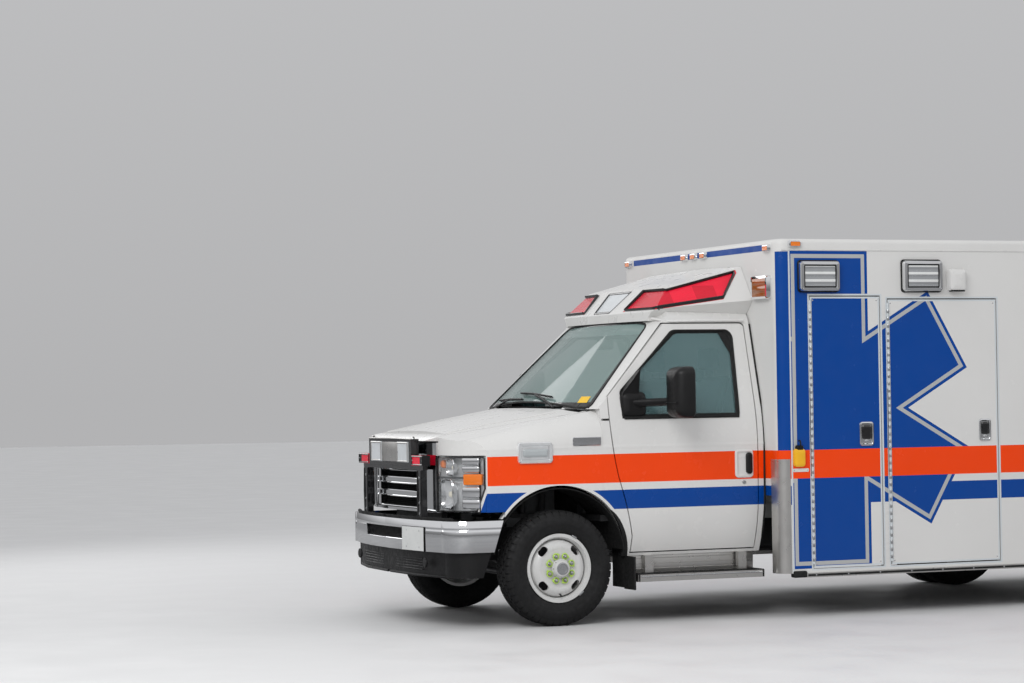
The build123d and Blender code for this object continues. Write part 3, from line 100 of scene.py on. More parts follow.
class Piece:
    """One mesh under construction, in millimetres."""

    def __init__(self):
        self.bm = bmesh.new()

    def _mark(self, before, mat):
        for face in self.bm.faces:
            if face not in before:
                face.material_index = mat

    def box(self, x0, x1, y0, y1, z0, z1, edge=0, steps=2, mat=0, turn=None):
        """A box with rounded edges; turn is a matrix applied about its middle."""
        before = set(self.bm.faces)
        made = bmesh.ops.create_cube(self.bm, size=1)["verts"]
        bmesh.ops.scale(self.bm, vec=(abs(x1 - x0), abs(y1 - y0), abs(z1 - z0)), verts=made)
        if edge:
            edges = list({e for v in made for e in v.link_edges})
            bmesh.ops.bevel(self.bm, geom=edges, offset=edge, segments=steps, affect="EDGES", profile=0.5)
            made = list({v for f in self.bm.faces if f not in before for v in f.verts})
        if turn is not None:
            bmesh.ops.transform(self.bm, matrix=turn.to_4x4(), verts=made)
        bmesh.ops.translate(self.bm, vec=((x0 + x1) / 2, (y0 + y1) / 2, (z0 + z1) / 2), verts=made)
        self._mark(before, mat)

    def lathe(self, profile, centre, axis="X", steps=32, mat=0, share=1.0, start=0.0, caps=True):
        """Turns (along, radius) pairs about an axis through centre."""
        before = set(self.bm.faces)
        rings, whole = [], share >= 1.0
        count = steps if whole else steps + 1
        for number in range(count):
            angle = start + math.tau * share * number / steps
            u, v = math.cos(angle), math.sin(angle)
            if axis == "Y":
                u, v = v, u
            places = [Vector(centre) + Vector(put(axis, r * u, r * v, along)) for along, r in profile]
            rings.append([self.bm.verts.new(place) for place in places])
        for number in range(count if whole else count - 1):
            a, b = rings[number], rings[(number + 1) % count]
            for k in range(len(profile) - 1):
                self.bm.faces.new((a[k], b[k], b[k + 1], a[k + 1]))
        if whole:
            for k in (0, len(profile) - 1):
                if caps and profile[k][1] > 0.01:
                    self.bm.faces.new([ring[k] for ring in rings])
            bmesh.ops.remove_doubles(self.bm, verts=[v for ring in rings for v in ring], dist=0.005)
        self._mark(before, mat)

    def pipe(self, points, radius, sides=8, closed=False, mat=0, flat=1.0):
        """A round (or flattened) bar along points."""
        before = set(self.bm.faces)
        points = [Vector(p) for p in points]
        count, rings, normal = len(points), [], None
        for number, here in enumerate(points):
            if closed:
                ahead, behind = points[(number + 1) % count], points[number - 1]
            else:
                ahead, behind = points[min(number + 1, count - 1)], points[max(number - 1, 0)]
            run = (ahead - behind).normalized()
            if normal is None:
                normal = run.orthogonal().normalized()
            normal = (normal - run * normal.dot(run)).normalized()
            other = run.cross(normal)
            rings.append([
                self.bm.verts.new(here + normal * radius * math.cos(a) + other * radius * flat * math.sin(a))
                for a in turns(sides)
            ])
        for number in range(count if closed else count - 1):
            a, b = rings[number], rings[(number + 1) % count]
            shift = 0
            if closed and number == count - 1:
                shift = min(range(sides), key=lambda k: (a[0].co - b[k].co).length)
            for k in range(sides):
                ends = b[(k + 1 + shift) % sides], b[(k + shift) % sides]
                self.bm.faces.new((a[k], a[(k + 1) % sides], *ends))
        if not closed:
            self.bm.faces.new(list(reversed(rings[0])))
            self.bm.faces.new(rings[-1])
        self._mark(before, mat)

    def slab(self, outline, axis, a0, a1, edge=0, mat=0):
        """A flat outline pulled along an axis from a0 to a1."""
        before = set(self.bm.faces)
        low, high = ([self.bm.verts.new(put(axis, u, v, a)) for u, v in outline] for a in (a0, a1))
        faces = [self.bm.faces.new(low), self.bm.faces.new(high)]
        for k in range(len(outline)):
            faces.append(self.bm.faces.new((low[k - 1], low[k], high[k], high[k - 1])))
        bmesh.ops.recalc_face_normals(self.bm, faces=faces)
        if edge:
            rims = list(set(faces[0].edges) | set(faces[1].edges))
            bmesh.ops.bevel(self.bm, geom=rims, offset=edge, segments=2, affect="EDGES", profile=0.5)
        self._mark(before, mat)

    def sheet(self, grid, thick=0, mat=0, closed=False):
        """A surface through rows of points, given a thickness along its normals."""
        before = set(self.bm.faces)
        rows = [[self.bm.verts.new(p) for p in row] for row in grid]
        faces = []
        for a, b in zip(rows, rows[1:]):
            for k in range(len(a) if closed else len(a) - 1):
                faces.append(self.bm.faces.new((a[k], a[(k + 1) % len(a)], b[(k + 1) % len(b)], b[k])))
        bmesh.ops.recalc_face_normals(self.bm, faces=faces)
        if thick:
            bmesh.ops.solidify(self.bm, geom=faces, thickness=thick)
        self._mark(before, mat)

    def studs(self, spots, radius, height, axis="X", mat=0, steps=6):
        """Small domed heads standing along an axis at each of the spots."""
        shape = [(0, radius), (height * 0.6, radius * 0.97), (height * 0.9, radius * 0.5), (height, 0)]
        for spot in spots:
            self.lathe(shape, spot, axis, steps, mat)

    def mould(self, u0, u1, v0, v1, corner, levels, base, axis="X", mat=0, cap=True):
        """A rounded rectangle raised in levels (inset, height) from base: bezels, covers, pads and lamps."""
        rows = []
        for inset, height in levels:
            r = max(corner - inset, 0.8)
            low_u, high_u, low_v, high_v = u0 + inset + r, u1 - inset - r, v0 + inset + r, v1 - inset - r
            middles = ((high_u, high_v), (low_u, high_v), (low_u, low_v), (high_u, low_v))
            row = []
            for turn, (cu, cv) in enumerate(middles):
                for k in range(CORNER_STEPS + 1):
                    angle = math.pi / 2 * (turn + k / CORNER_STEPS)
                    row.append(put(axis, cu + r * math.cos(angle), cv + r * math.sin(angle), base + height))
            rows.append(row)
        self.sheet(rows, 0, mat, True)
        if cap:
            before = set(self.bm.faces)
            self.bm.faces.new([self.bm.verts.new(p) for p in rows[-1]])
            self._mark(before, mat)

    def rim(self, corners, gap, radius, mat=0, flat=1.0):
        """A closed bar through corners."""
        self.pipe(even(corners, gap), radius, 8, True, mat, flat)

    def done(self, name, materials, slot, side=1, smooth=40, body="root", stands_for=()):
        """Writes the mesh out, on either side of the vehicle, and lets it ride on its body."""
        if side < 0:
            bmesh.ops.scale(self.bm, vec=(-1, 1, 1), verts=self.bm.verts)
        bmesh.ops.recalc_face_normals(self.bm, faces=self.bm.faces)
        bmesh.ops.transform(self.bm, matrix=TO_FRAME, verts=self.bm.verts)
        mesh = bpy.data.meshes.new(name)
        self.bm.to_mesh(mesh)
        self.bm.free()
        for key in materials.split():
            mesh.materials.append(mat[key])
        mesh.polygons.foreach_set("use_smooth", [True] * len(mesh.polygons))
        mesh.set_sharp_from_angle(angle=math.radians(smooth))
        thing = bpy.data.objects.new(name, mesh)
        bpy.context.scene.collection.objects.link(thing)
        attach(thing, body)
        if stands_for:
            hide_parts(*stands_for)
        return thing


def sharp_loops(node, keep):
    """Closed runs of a CAD node's sharp edges whose ends pass keep(x, y, z), in millimetres."""
    mesh = bmesh.new()
    mesh.from_mesh(nodes[node].data)
    bmesh.ops.transform(mesh, matrix=TO_MM, verts=mesh.verts)
    bmesh.ops.remove_doubles(mesh, verts=mesh.verts, dist=0.01)
    links = {}
    for edge in mesh.edges:
        if len(edge.link_faces) == 2 and edge.calc_face_angle(0) > SHARP:
            if all(keep(*v.co) for v in edge.verts):
                a, b = edge.verts
                links.setdefault(a, []).append(b)
                links.setdefault(b, []).append(a)
    loops, seen = [], set()
    for first in links:
        if first in seen or len(links[first]) != 2:
            continue
        loop, here, last = [], first, None
        while here is not None and here not in seen:
            seen.add(here)
            loop.append(here.co.copy())
            ahead = [v for v in links[here] if v is not last and v not in seen]
            last, here = here, ahead[0] if ahead else None
        if len(loop) > 3:
            loops.append(loop)
    mesh.free()
    return loops


def even(corners, gap, closed=True):
    """Points along a run at about equal gaps, with its corners kept."""
    loop, result = [Vector(p) for p in corners], []
    for number in range(len(loop) if closed else len(loop) - 1):
        a, b = loop[number], loop[(number + 1) % len(loop)]
        steps = max(1, round((b - a).length / gap))
        result += [a.lerp(b, k / steps) for k in range(steps)]
    return result if closed else result + [loop[-1]]


def touch(node, spot, aim):
    """Where a line from a spot, in millimetres, first meets a CAD node; None if it misses."""
    thing = nodes[node]
    back = thing.matrix_world.inverted()
    hit, place, _, _ = thing.ray_cast(back @ (TO_FRAME @ Vector(spot)), back.to_3x3() @ Vector(aim))
    return TO_MM @ (thing.matrix_world @ place) if hit else None


def skin_x(node, y, z):
    """Where a node's outer left surface stands at a length and height, in millimetres."""
    place = touch(node, (2000, y, z), (-1, 0, 0))
    return place.x if place else 1000


# Materials


class Value:
    """A number that shader nodes work out; masks are 0 or 1, with & for both, | for any and ~ for not."""

    def __init__(self, shade, socket):
        self.shade, self.socket = shade, socket

    def math(self, operation, *others):
        return self.shade.math(operation, self, *others)

    def __add__(self, other):
        return self.math("ADD", other)

    def __sub__(self, other):
        return self.math("SUBTRACT", other)

    def __mul__(self, other):
        return self.math("MULTIPLY", other)

    def __abs__(self):
        return self.math("ABSOLUTE")

    def __and__(self, mask):
        return self * mask

    def __or__(self, mask):
        return self.math("MAXIMUM", mask)

    def __invert__(self):
        return self.shade.math("SUBTRACT", 1.0, self)

    def __gt__(self, edge):
        return self.math("GREATER_THAN", edge)

    def __lt__(self, edge):
        return ~(self > edge)

    def within(self, low, high):
        """1 where the value lies between low and high."""
        return self.math("COMPARE", (low + high) / 2, (high - low) / 2)

    def beyond(self, low, high):
        """How far the value lies outside low to high; below 0 inside."""
        return abs(self - (low + high) / 2) - (high - low) / 2

    def wave(self, pitch, phase=0.0):
        return self.math("MULTIPLY_ADD", math.tau / pitch, phase).math("SINE")

    def spread(self, low, high):
        """Maps 0.3 to 0.7 of a noise onto low to high."""
        return Value(self.shade, self.shade.add("ShaderNodeMapRange", self, 0.3, 0.7, low, high).outputs[0])


class Shade:
    """A procedural material: colours and masks come from the object's own coordinates."""

    def __init__(self, name):
        self.material = bpy.data.materials.new(name)
        self.material.use_nodes = True
        self.tree = self.material.node_tree
        self.shader = self.tree.nodes["Principled BSDF"]
        self.place = self.add("ShaderNodeTexCoord").outputs["Object"]
        split = self.add("ShaderNodeSeparateXYZ", self.place)
        self.x, self.y, self.z = (Value(self, split.outputs[axis]) for axis in "XYZ")
        self.y = self.y - AXLE_Y
        self.side = abs(self.x)

    def add(self, kind, *inputs, **settings):
        node = self.tree.nodes.new(kind)
        for key, value in settings.items():
            setattr(node, key, value)
        for number, value in enumerate(inputs):
            self.feed(node.inputs[number], value)
        return node

    def feed(self, socket, value):
        if isinstance(value, Value):
            value = value.socket
        if isinstance(value, bpy.types.NodeSocket):
            self.tree.links.new(value, socket)
        else:
            socket.default_value = value

    def math(self, operation, *inputs):
        return Value(self, self.add("ShaderNodeMath", *inputs, operation=operation).outputs[0])

    def vector(self, operation, *inputs):
        """A vector operation whose result is a number."""
        node = self.add("ShaderNodeVectorMath", *inputs, operation=operation)
        return Value(self, node.outputs["Value"])

    def outward(self):
        """1 on surfaces that face away from the middle plane or along the vehicle, 0 on those facing in."""
        normal = self.add("ShaderNodeTexCoord").outputs["Normal"]
        across = Value(self, self.add("ShaderNodeSeparateXYZ", normal).outputs["X"])
        return across * self.x.math("SIGN") > -0.3

    def blend(self, mask, a, b):
        """Colour a where mask is 0, colour b where it is 1."""
        node = self.add("ShaderNodeMix", data_type="RGBA")
        self.feed(node.inputs["Factor"], mask)
        for socket, value in (("A", a), ("B", b)):
            target = [s for s in node.inputs if s.name == socket and s.type == "RGBA"][0]
            self.feed(target, value if isinstance(value, bpy.types.NodeSocket) else (*value, 1))
        return [s for s in node.outputs if s.type == "RGBA"][0]

    def noise(self, scale, detail=3, stretch=None):
        place = self.place
        if stretch:
            place = self.add("ShaderNodeVectorMath", place, stretch, operation="MULTIPLY").outputs[0]
        node = self.add("ShaderNodeTexNoise", place)
        node.inputs["Scale"].default_value = scale
        node.inputs["Detail"].default_value = detail
        return Value(self, node.outputs[0])

    def bump(self, height, strength, distance):
        """Adds a height map to the ones that the shader already has."""
        node = self.add("ShaderNodeBump")
        node.inputs["Strength"].default_value = strength
        node.inputs["Distance"].default_value = distance
        self.feed(node.inputs["Height"], height)
        last = self.shader.inputs["Normal"]
        if last.is_linked:
            self.feed(node.inputs["Normal"], last.links[0].from_socket)
        self.feed(last, node.outputs[0])

    def end(self, colour, rough, metal=0.0, coat=0.0, vary=0.04, grain=3.0, alpha=None, rough_vary=0.25,
            level=0.5):
        """Wires colour, with a slow change of shade, and an uneven roughness to the shader."""
        slow = self.noise(grain, 4)
        if isinstance(colour, bpy.types.NodeSocket):
            tone = self.add("ShaderNodeVectorMath", colour, operation="SCALE")
            self.feed(tone.inputs["Scale"], slow.spread(1 - vary, 1 + vary))
            colour = tone.outputs[0]
        else:
            dark, light = [c * (1 - vary) for c in colour], [min(1, c * (1 + vary)) for c in colour]
            colour = self.blend(slow.spread(0.0, 1.0), dark, light)
        fine = self.noise(grain * 6, 3)
        settings = {
            "Base Color": colour,
            "Roughness": fine.spread(rough * (1 - rough_vary), rough * (1 + rough_vary)),
            "Metallic": metal,
            "Coat Weight": coat,
            "Coat Roughness": 0.04,
            "Specular IOR Level": level,
        }
        if alpha is not None:
            settings["Alpha"] = alpha
        for socket, value in settings.items():
            self.feed(self.shader.inputs[socket], value)
        return self.material


WHITE, SILVER = (0.71, 0.705, 0.69), (0.45, 0.46, 0.46)
ORANGE, BLUE = (0.93, 0.062, 0.002), (0.0005, 0.056, 0.30)
BLACK, DARK, RED = (0.012, 0.012, 0.013), (0.02, 0.02, 0.021), (0.55, 0.006, 0.012)


def plain(name, colour, rough, metal=0.0, coat=0.0, vary=0.05, grain=4.0, peel=None, alpha=None, level=0.5):
    """One colour; peel is the scale, strength and depth of its surface's unevenness."""
    shade = Shade(name)
    if peel:
        scale, strength, distance = peel
        shade.bump(shade.noise(scale, 2), strength, distance)
    return shade.end(colour, rough, metal, coat, vary, grain, alpha, level=level)


def brushed(name, colour, rough, stretch):
    shade = Shade(name)
    shade.bump(shade.noise(60, 4, stretch), 0.08, 0.0004)
    return shade.end(colour, rough, 0.9, 0, 0.05, 3, rough_vary=0.12)


def ribbed(name, colour, rough, pitch):
    """A lamp lens with moulded flutes."""
    shade = Shade(name)
    shade.bump(shade.z.wave(pitch), 0.6, 0.002)
    return shade.end(colour, rough, 0, 0.6, 0.06, 5)


def stripes(shade):
    """The orange and the blue band that run round the vehicle."""
    return [shade.z.within(low / 1000, high / 1000) for low, high in (ORANGE_Z, BLUE_Z)]


def cab_paint():
    """White cab paint with both bands and a crease at the waist; black wheel wells and windscreen ledge."""
    shade = Shade("cab_paint")
    side, y, z = shade.side, shade.y, shade.z
    orange, blue = stripes(shade)
    outside = (side > 0.955) & shade.outward()
    spoke = shade.add("ShaderNodeCombineXYZ", 0.0, y, z - ARCH_Z / 1000)
    radius = shade.vector("LENGTH", spoke.outputs[0])
    orange_front, film_radius, well_radius = -0.497, 0.492, 0.487
    orange = orange & outside & (y > orange_front)
    blue = blue & outside & (y > z * FRONT_SLOPE + FILM_FOOT) & (radius > film_radius)
    colour = shade.blend(blue, shade.blend(orange, WHITE, ORANGE), BLUE)
    waist_z, crease_steepness = 1.142, 60
    crease = shade.math("SUBTRACT", 1.0, abs(z - waist_z) * crease_steepness) | 0.0
    shade.bump(crease & outside, 0.35, 0.006)
    well = (radius < well_radius) & (side < 0.935)
    ledge = y.within(0.205, 0.31) & z.within(1.36, 1.43) & (side < 0.80)
    colour = shade.blend(well | ledge, colour, BLACK)
    shade.bump(shade.noise(9, 2), 0.06, 0.0012)
    return shade.end(colour, 0.24, 0, 0.15, 0.025, 2, level=0.28)


# The six-armed figure: its middle, an arm's length and half its width, and the silver line's two edges
STAR_Y, STAR_Z, STAR_ARM, STAR_HALF = 1.855, 1.364, 1.046, 0.297
SILVER_OUT, SILVER_IN = 0.021, 0.047
POST_Y, POST_LINE_Y = 1.560, 1.572
# Doors of the body's sides: node, side, front and rear edge, and the handle's y and z limits
DOORS = (
    ("locker_door_front_left", 1, 1711, 2247, (2072, 2180, 1115, 1278)),
    ("locker_door_middle_left", 1, 2298, 3151, (2994, 3088, 1130, 1284)),
    ("locker_door_rear_left", 1, REAR_AXLE + 547, REAR_AXLE + 1317,
     (REAR_AXLE + 1160, REAR_AXLE + 1268, 1115, 1278)),
    ("entry_door", -1, 2298, 3151, (2994, 3088, 1130, 1284)),
)


def module_paint():
    """White module paint with both bands, the six-armed figure, the blue corner post and film margins."""
    shade = Shade("module_paint")
    side, y, z = shade.side, shade.y, shade.z
    orange, blue = stripes(shade)
    front, rear, half = MODULE_FRONT / 1000, MODULE_REAR / 1000, SIDE / 1000
    skin = 0.003
    on_side = side > half - skin
    on_ends = ((y < front + skin) & (side > 0.9)) | (y > rear - skin)
    outside = on_side | on_ends | ((side > half - 0.08) & (y < front + 0.08))
    place = shade.add("ShaderNodeCombineXYZ", y - STAR_Y, z - STAR_Z, 0.0).outputs[0]
    depth = None
    for degrees in (90, 30, -30):
        c, s = math.cos(math.radians(degrees)), math.sin(math.radians(degrees))
        along = abs(shade.vector("DOT_PRODUCT", place, (c, s, 0))) - STAR_ARM
        bar = along | (abs(shade.vector("DOT_PRODUCT", place, (-s, c, 0))) - STAR_HALF)
        depth = depth.math("MINIMUM", bar) if depth else bar
    drawn = (y > POST_LINE_Y) & on_side
    star = (depth < 0.0) & drawn
    upright = y.within(STAR_Y - STAR_HALF + SILVER_OUT, STAR_Y - STAR_HALF + SILVER_IN) & z.within(
        STAR_Z - STAR_ARM + SILVER_OUT, STAR_Z + STAR_ARM - SILVER_OUT
    )
    silver = (depth.within(-SILVER_IN, -SILVER_OUT) | upright) & drawn
    post = z.within(ORANGE_Z[1] / 1000, ROOF_BAND_Z / 1000 - 0.012) & (y < POST_Y) & (side > half - 0.045)
    colour = shade.blend(blue & outside, WHITE, BLUE)
    colour = shade.blend(star | post, colour, BLUE)
    colour = shade.blend(silver, colour, SILVER)
    colour = shade.blend(orange & outside, colour, ORANGE)
    margins = y.within(POST_Y, POST_LINE_Y) & (z < 2.406)
    for name, door_side, y0, y1, _ in DOORS:
        top = (MODULE_TOP - 394) / 1000 + (0.019 if "front" in name else 0)
        edge = y.beyond(y0 / 1000, y1 / 1000) | z.beyond(0.316, top)
        margins = margins | (edge.within(-0.019, 0.011) & (shade.x * door_side > half - skin))
    colour = shade.blend(margins & on_side, colour, (0.62, 0.66, 0.68))
    shade.bump(shade.noise(2.1, 1), 0.12, 0.008)
    return shade.end(colour, 0.22, 0, 0.15, 0.02, 1.5, level=0.28)


def roof_paint():
    """The module's roof: white, with a blue film across its front edge."""
    shade = Shade("roof_paint")
    film = (shade.y < MODULE_FRONT / 1000 + 0.004) & shade.z.within(2.4, 2.458) & (shade.side < 1.02)
    shade.bump(shade.noise(4, 2), 0.08, 0.002)
    return shade.end(shade.blend(film, WHITE, BLUE), 0.5, 0, 0, 0.03, 2, level=0.3)


def warning_lens():
    """Red lenses, with clear ones in the guard's box and at the middle of the fairing."""
    shade = Shade("warning_lens")
    side = shade.side
    on_guard = shade.z < 1.3
    clear = (on_guard & (side < 0.37)) | (~on_guard & (side < 0.215))
    shade.bump(shade.x.wave(0.010), 0.25, 0.0008)
    inner = (shade.y.wave(0.30, 1.9) > 0.1) & (shade.z.wave(0.26, 0.4) > -0.2) & ~on_guard
    colour = shade.blend(inner, (0.92, 0.012, 0.045), (0.70, 0.007, 0.03))
    colour = shade.blend(clear, colour, (0.70, 0.73, 0.75))
    colour = shade.blend(on_guard & (side > 0.575), colour, BLACK)
    return shade.end(colour, 0.12, 0, 0.12, 0.06, 7, level=0.35)


def bumper_chrome():
    """Chrome that shades as a rolled section: its face leans up above the middle and down below it."""
    shade = Shade("bumper_chrome")
    middle_z, half_height = 0.592, 0.1
    climb = (shade.z - middle_z).math("DIVIDE", half_height)
    step = abs(climb - 0.45).math("MINIMUM", 0.12) * 0.03
    shade.bump(climb * climb * -0.016 + step, 1.0, 1.0)
    return shade.end((0.84, 0.85, 0.86), 0.06, 1.0, 0, 0.03, 2)


def lamp_lens():
    """Clear box-lamp lenses with moulded bars; amber ones at the box body's front and red at its back."""
    shade = Shade("lamp_lens")
    wave = shade.z.wave(0.05)
    shade.bump(wave, 0.6, 0.006)
    # Painted highlight and shade: the clear lens is coloured light and dark along each moulded bar
    colour = shade.blend(wave.spread(0.0, 1.0), (0.30, 0.31, 0.32), (0.80, 0.81, 0.80))
    colour = shade.blend(shade.y < MODULE_FRONT / 1000, colour, (0.30, 0.085, 0.008))
    colour = shade.blend(shade.y > MODULE_REAR / 1000, colour, (0.62, 0.01, 0.02))
    return shade.end(colour, 0.1, 0, 0.6, 0.06, 9)


def marker_lens():
    """Amber markers; at the back, red ones above and clusters of a red, an amber and a red lamp below."""
    shade = Shade("marker_lens")
    rear, upper = shade.y > MODULE_REAR / 1000, shade.z > 1.5
    middle = shade.z.within(1.05, 1.21)
    colour = shade.blend(rear & (upper | ~middle), (0.86, 0.20, 0.006), RED)
    colour = shade.blend(rear & ~upper & middle, colour, (0.72, 0.16, 0.006))
    shade.bump(shade.z.wave(0.009), 0.5, 0.0012)
    return shade.end(colour, 0.14, 0, 0.8, 0.05, 9)


def screen_glass():
    """Windscreen glass with a black band baked round its edge and a shade at the top."""
    shade = Shade("screen_glass")
    low, high = size_mm("windscreen")
    half_foot, half_top = 0.872, 0.668
    climb = (shade.z - low.z / 1000).math("DIVIDE", (high.z - low.z) / 1000)
    half = climb * (half_top - half_foot) + half_foot
    edge = (half - shade.side < 0.030) | (climb < 0.06) | (climb > 0.955)
    alpha = ((climb > 0.83) * 0.12 + 0.48) | edge
    return shade.end(shade.blend(edge, (0.27, 0.39, 0.37), BLACK), 0.03, 0, 0.0, 0.03, 2, alpha)


def clear_lens():
    """Clear plastic; the headlamp's lower back corner is painted as the fender is, beyond a slanted line."""
    shade = Shade("clear_lens")
    y, z = shade.y, shade.z
    line = z * FRONT_SLOPE + LENS_FOOT
    corner = (y > line) & z.within(0.70, 0.905) & (y < -0.48)
    blue = stripes(shade)[1] & (y > line + (FILM_FOOT - LENS_FOOT))
    colour = shade.blend(corner & blue, shade.blend(corner, (0.75, 0.78, 0.8), WHITE), BLUE)
    return shade.end(colour, 0.03, 0, 0, 0.03, 4, corner | 0.14)


def floor_pan():
    """The cab's floor: white sills, and dark underseal elsewhere."""
    shade = Shade("floor_pan")
    colour = shade.blend((shade.side > 0.868) & (shade.y > 0.5), DARK, WHITE)
    shade.bump(shade.noise(140, 3), 0.3, 0.0012)
    return shade.end(colour, 0.5, 0, 0, 0.08, 5, level=0.3)


def floor_sheet():
    """A speckled floor covering."""
    shade = Shade("floor_sheet")
    colour = shade.blend(shade.noise(420, 1) > 0.6, (0.17, 0.18, 0.19), (0.34, 0.35, 0.36))
    shade.bump(shade.noise(300, 2), 0.1, 0.0006)
    return shade.end(colour, 0.45, 0, 0, 0.05, 3)


def checker_plate():
    """Bright tread plate with raised lozenges in two directions."""
    shade = Shade("checker_plate")
    pitch = 0.03
    lift = (shade.x + shade.y).wave(pitch) * (shade.x - shade.y).wave(pitch) - 0.45
    shade.bump(lift | 0.0, 0.7, 0.004)
    return shade.end((0.5, 0.51, 0.52), 0.3, 0.9, 0, 0.08, 4)


def cloth(name, colour):
    """A plain weave."""
    shade = Shade(name)
    pitch = 0.004
    shade.bump(shade.x.wave(pitch) * (shade.y + shade.z).wave(pitch), 0.35, 0.0008)
    shade.bump(shade.noise(30, 3), 0.15, 0.003)
    return shade.end(colour, 0.85, 0, 0, 0.12, 9)


# In plain(): name, colour, roughness, metal, coat, variation of colour and its scale, peel
mat = {
    "cab": cab_paint(),
    "module": module_paint(),
    "roof": roof_paint(),
    "white": plain("white_paint", WHITE, 0.32, 0, 0.1, 0.03, 2, (7, 0.06, 0.0012)),
    "pan": floor_pan(),
    "inside": plain("inside_panel", (0.56, 0.57, 0.56), 0.5, 0, 0, 0.05, 3, (120, 0.1, 0.0008)),
    "chrome": plain("chrome", (0.82, 0.83, 0.84), 0.06, 1.0, 0, 0.03, 2, (1.6, 0.05, 0.01)),
    "bumper": bumper_chrome(),
    "steel": brushed("brushed_steel", (0.5, 0.51, 0.52), 0.28, (1, 40, 1)),
    "plate": brushed("guard_plate", (0.60, 0.59, 0.57), 0.3, (40, 40, 1)),
    "tread": checker_plate(),
    "black": plain("black_plastic", (0.009, 0.009, 0.0095), 0.45, 0, 0, 0.15, 6, (700, 0.25, 0.0005),
                   level=0.28),
    "gloss_black": plain("gloss_black", (0.01, 0.01, 0.011), 0.14, 0, 0.5, 0.1, 5),
    "rubber": plain("rubber", (0.016, 0.016, 0.016), 0.72, 0, 0, 0.15, 8, (400, 0.3, 0.0006), level=0.25),
    "tyre": plain("tyre_rubber", (0.013, 0.013, 0.0135), 0.7, 0, 0, 0.2, 6, (260, 0.2, 0.0005), level=0.25),
    "frame": plain("frame_paint", (0.022, 0.022, 0.024), 0.42, 0, 0.1, 0.2, 5, (90, 0.2, 0.0008)),
    "cast": plain("cast_metal", (0.12, 0.12, 0.122), 0.62, 0.6, 0, 0.2, 7, (160, 0.5, 0.001)),
    "spring": plain("spring_paint", (0.05, 0.05, 0.052), 0.4, 0.3, 0, 0.15, 6, (120, 0.2, 0.0005)),
    "trim": plain("cab_trim", (0.1, 0.105, 0.11), 0.6, 0, 0, 0.08, 4, (300, 0.1, 0.0003)),
    "dark_trim": plain("dark_trim", (0.03, 0.031, 0.033), 0.55, 0, 0, 0.1, 4, (300, 0.1, 0.0003)),
    "seat": cloth("seat_cloth", (0.075, 0.08, 0.09)),
    "vinyl": plain("seat_vinyl", (0.05, 0.055, 0.065), 0.42, 0, 0.05, 0.12, 6, (240, 0.3, 0.0007)),
    "floor": floor_sheet(),
    "wheel": plain("wheel_paint", (0.62, 0.62, 0.61), 0.32, 0, 0.25, 0.06, 5, (60, 0.12, 0.0008)),
    "screen": screen_glass(),
    "glass": plain("side_glass", (0.15, 0.26, 0.27), 0.03, 0, 0, 0.03, 2, None, 0.5),
    "rear_glass": plain("rear_glass", (0.05, 0.07, 0.075), 0.03, 0, 0, 0.03, 2, None, 0.62),
    "lens": clear_lens(),
    "mirror": plain("mirror_glass", (0.7, 0.72, 0.74), 0.02, 1.0, 0, 0.02, 2),
    "lamp_lens": lamp_lens(),
    "warning": warning_lens(),
    "marker": marker_lens(),
    "amber": ribbed("amber_lens", (0.9, 0.2, 0.004), 0.15, 0.008),
    "reflector": plain("reflector", (0.84, 0.85, 0.86), 0.2, 0.55, 0.3, 0.08, 14, (60, 0.2, 0.003)),
    "bulb": plain("frosted_bulb", (0.85, 0.8, 0.66), 0.3, 0, 0.3, 0.05, 9),
    "fender_lamp": plain("fender_lamp", (0.42, 0.45, 0.46), 0.2, 0, 0.3, 0.06, 9),
    "cover": plain("inlet_cover", (0.92, 0.48, 0.01), 0.35, 0, 0.2, 0.06, 9, (300, 0.1, 0.0004)),
    "pointer": plain("nut_pointer", (0.50, 0.74, 0.10), 0.45, 0, 0, 0.08, 20),
    "sticker": plain("blank_sticker", (0.9, 0.55, 0.01), 0.5, 0, 0, 0.05, 20),
    "blank_plate": plain("blank_plate", (0.68, 0.69, 0.68), 0.35, 0, 0.1, 0.04, 12, (150, 0.1, 0.0004)),
    "alu": brushed("locker_sheet", (0.48, 0.49, 0.5), 0.35, (1, 30, 30)),
    "engine": plain("engine_grey", (0.16, 0.165, 0.17), 0.55, 0.5, 0, 0.15, 6, (80, 0.4, 0.001)),
    "tank": plain("tank_plastic", DARK, 0.5, 0, 0, 0.15, 5, (150, 0.3, 0.001)),
}

DRESS = {
    "cab": "cab_sides cab_door_left cab_door_right fenders cab_roof",
    "white": "hood roof_fairing",
    "pan": "cab_floor",
    "module": "module_side_left module_side_right module_ends locker_door_front_left locker_door_middle_left"
    " locker_door_rear_left entry_door rear_door_left rear_door_right",
    "roof": "module_roof",
    "inside": "module_floor",
    "alu": "lockers",
    "chrome": "grille",
    "bumper": "front_bumper",
    "plate": "body_guards running_boards",
    "black": "cowl air_dam mirror_left mirror_right",
    "gloss_black": "grille_guard",
    "frame": "chassis_frame front_axle rear_axle knuckle_left knuckle_right",
    "engine": "engine_block",
    "spring": "springs",
    "tank": "fuel_tank",
    "screen": "windscreen",
    "glass": "cab_door_glass_left cab_door_glass_right",
    "rear_glass": "entry_door_glass rear_door_glass_left rear_door_glass_right",
    "lens": "headlamps",
    "lamp_lens": "scene_lamps",
    "warning": "warning_lamps",
    "marker": "marker_lamps",
    "trim": "dashboard",
    "seat": "cab_seats",
    "dark_trim": "steering_wheel",
    "rubber": "mud_flaps",
    "tyre": "tyre_front_left tyre_front_right tyres_rear_left tyres_rear_right",
    "wheel": "rim_front_left rim_front_right rims_rear_left rims_rear_right",
}
for key, names in DRESS.items():
    for name in names.split():
        for part in nodes[name].material_slots:
            part.material = mat[key]


# Wheels


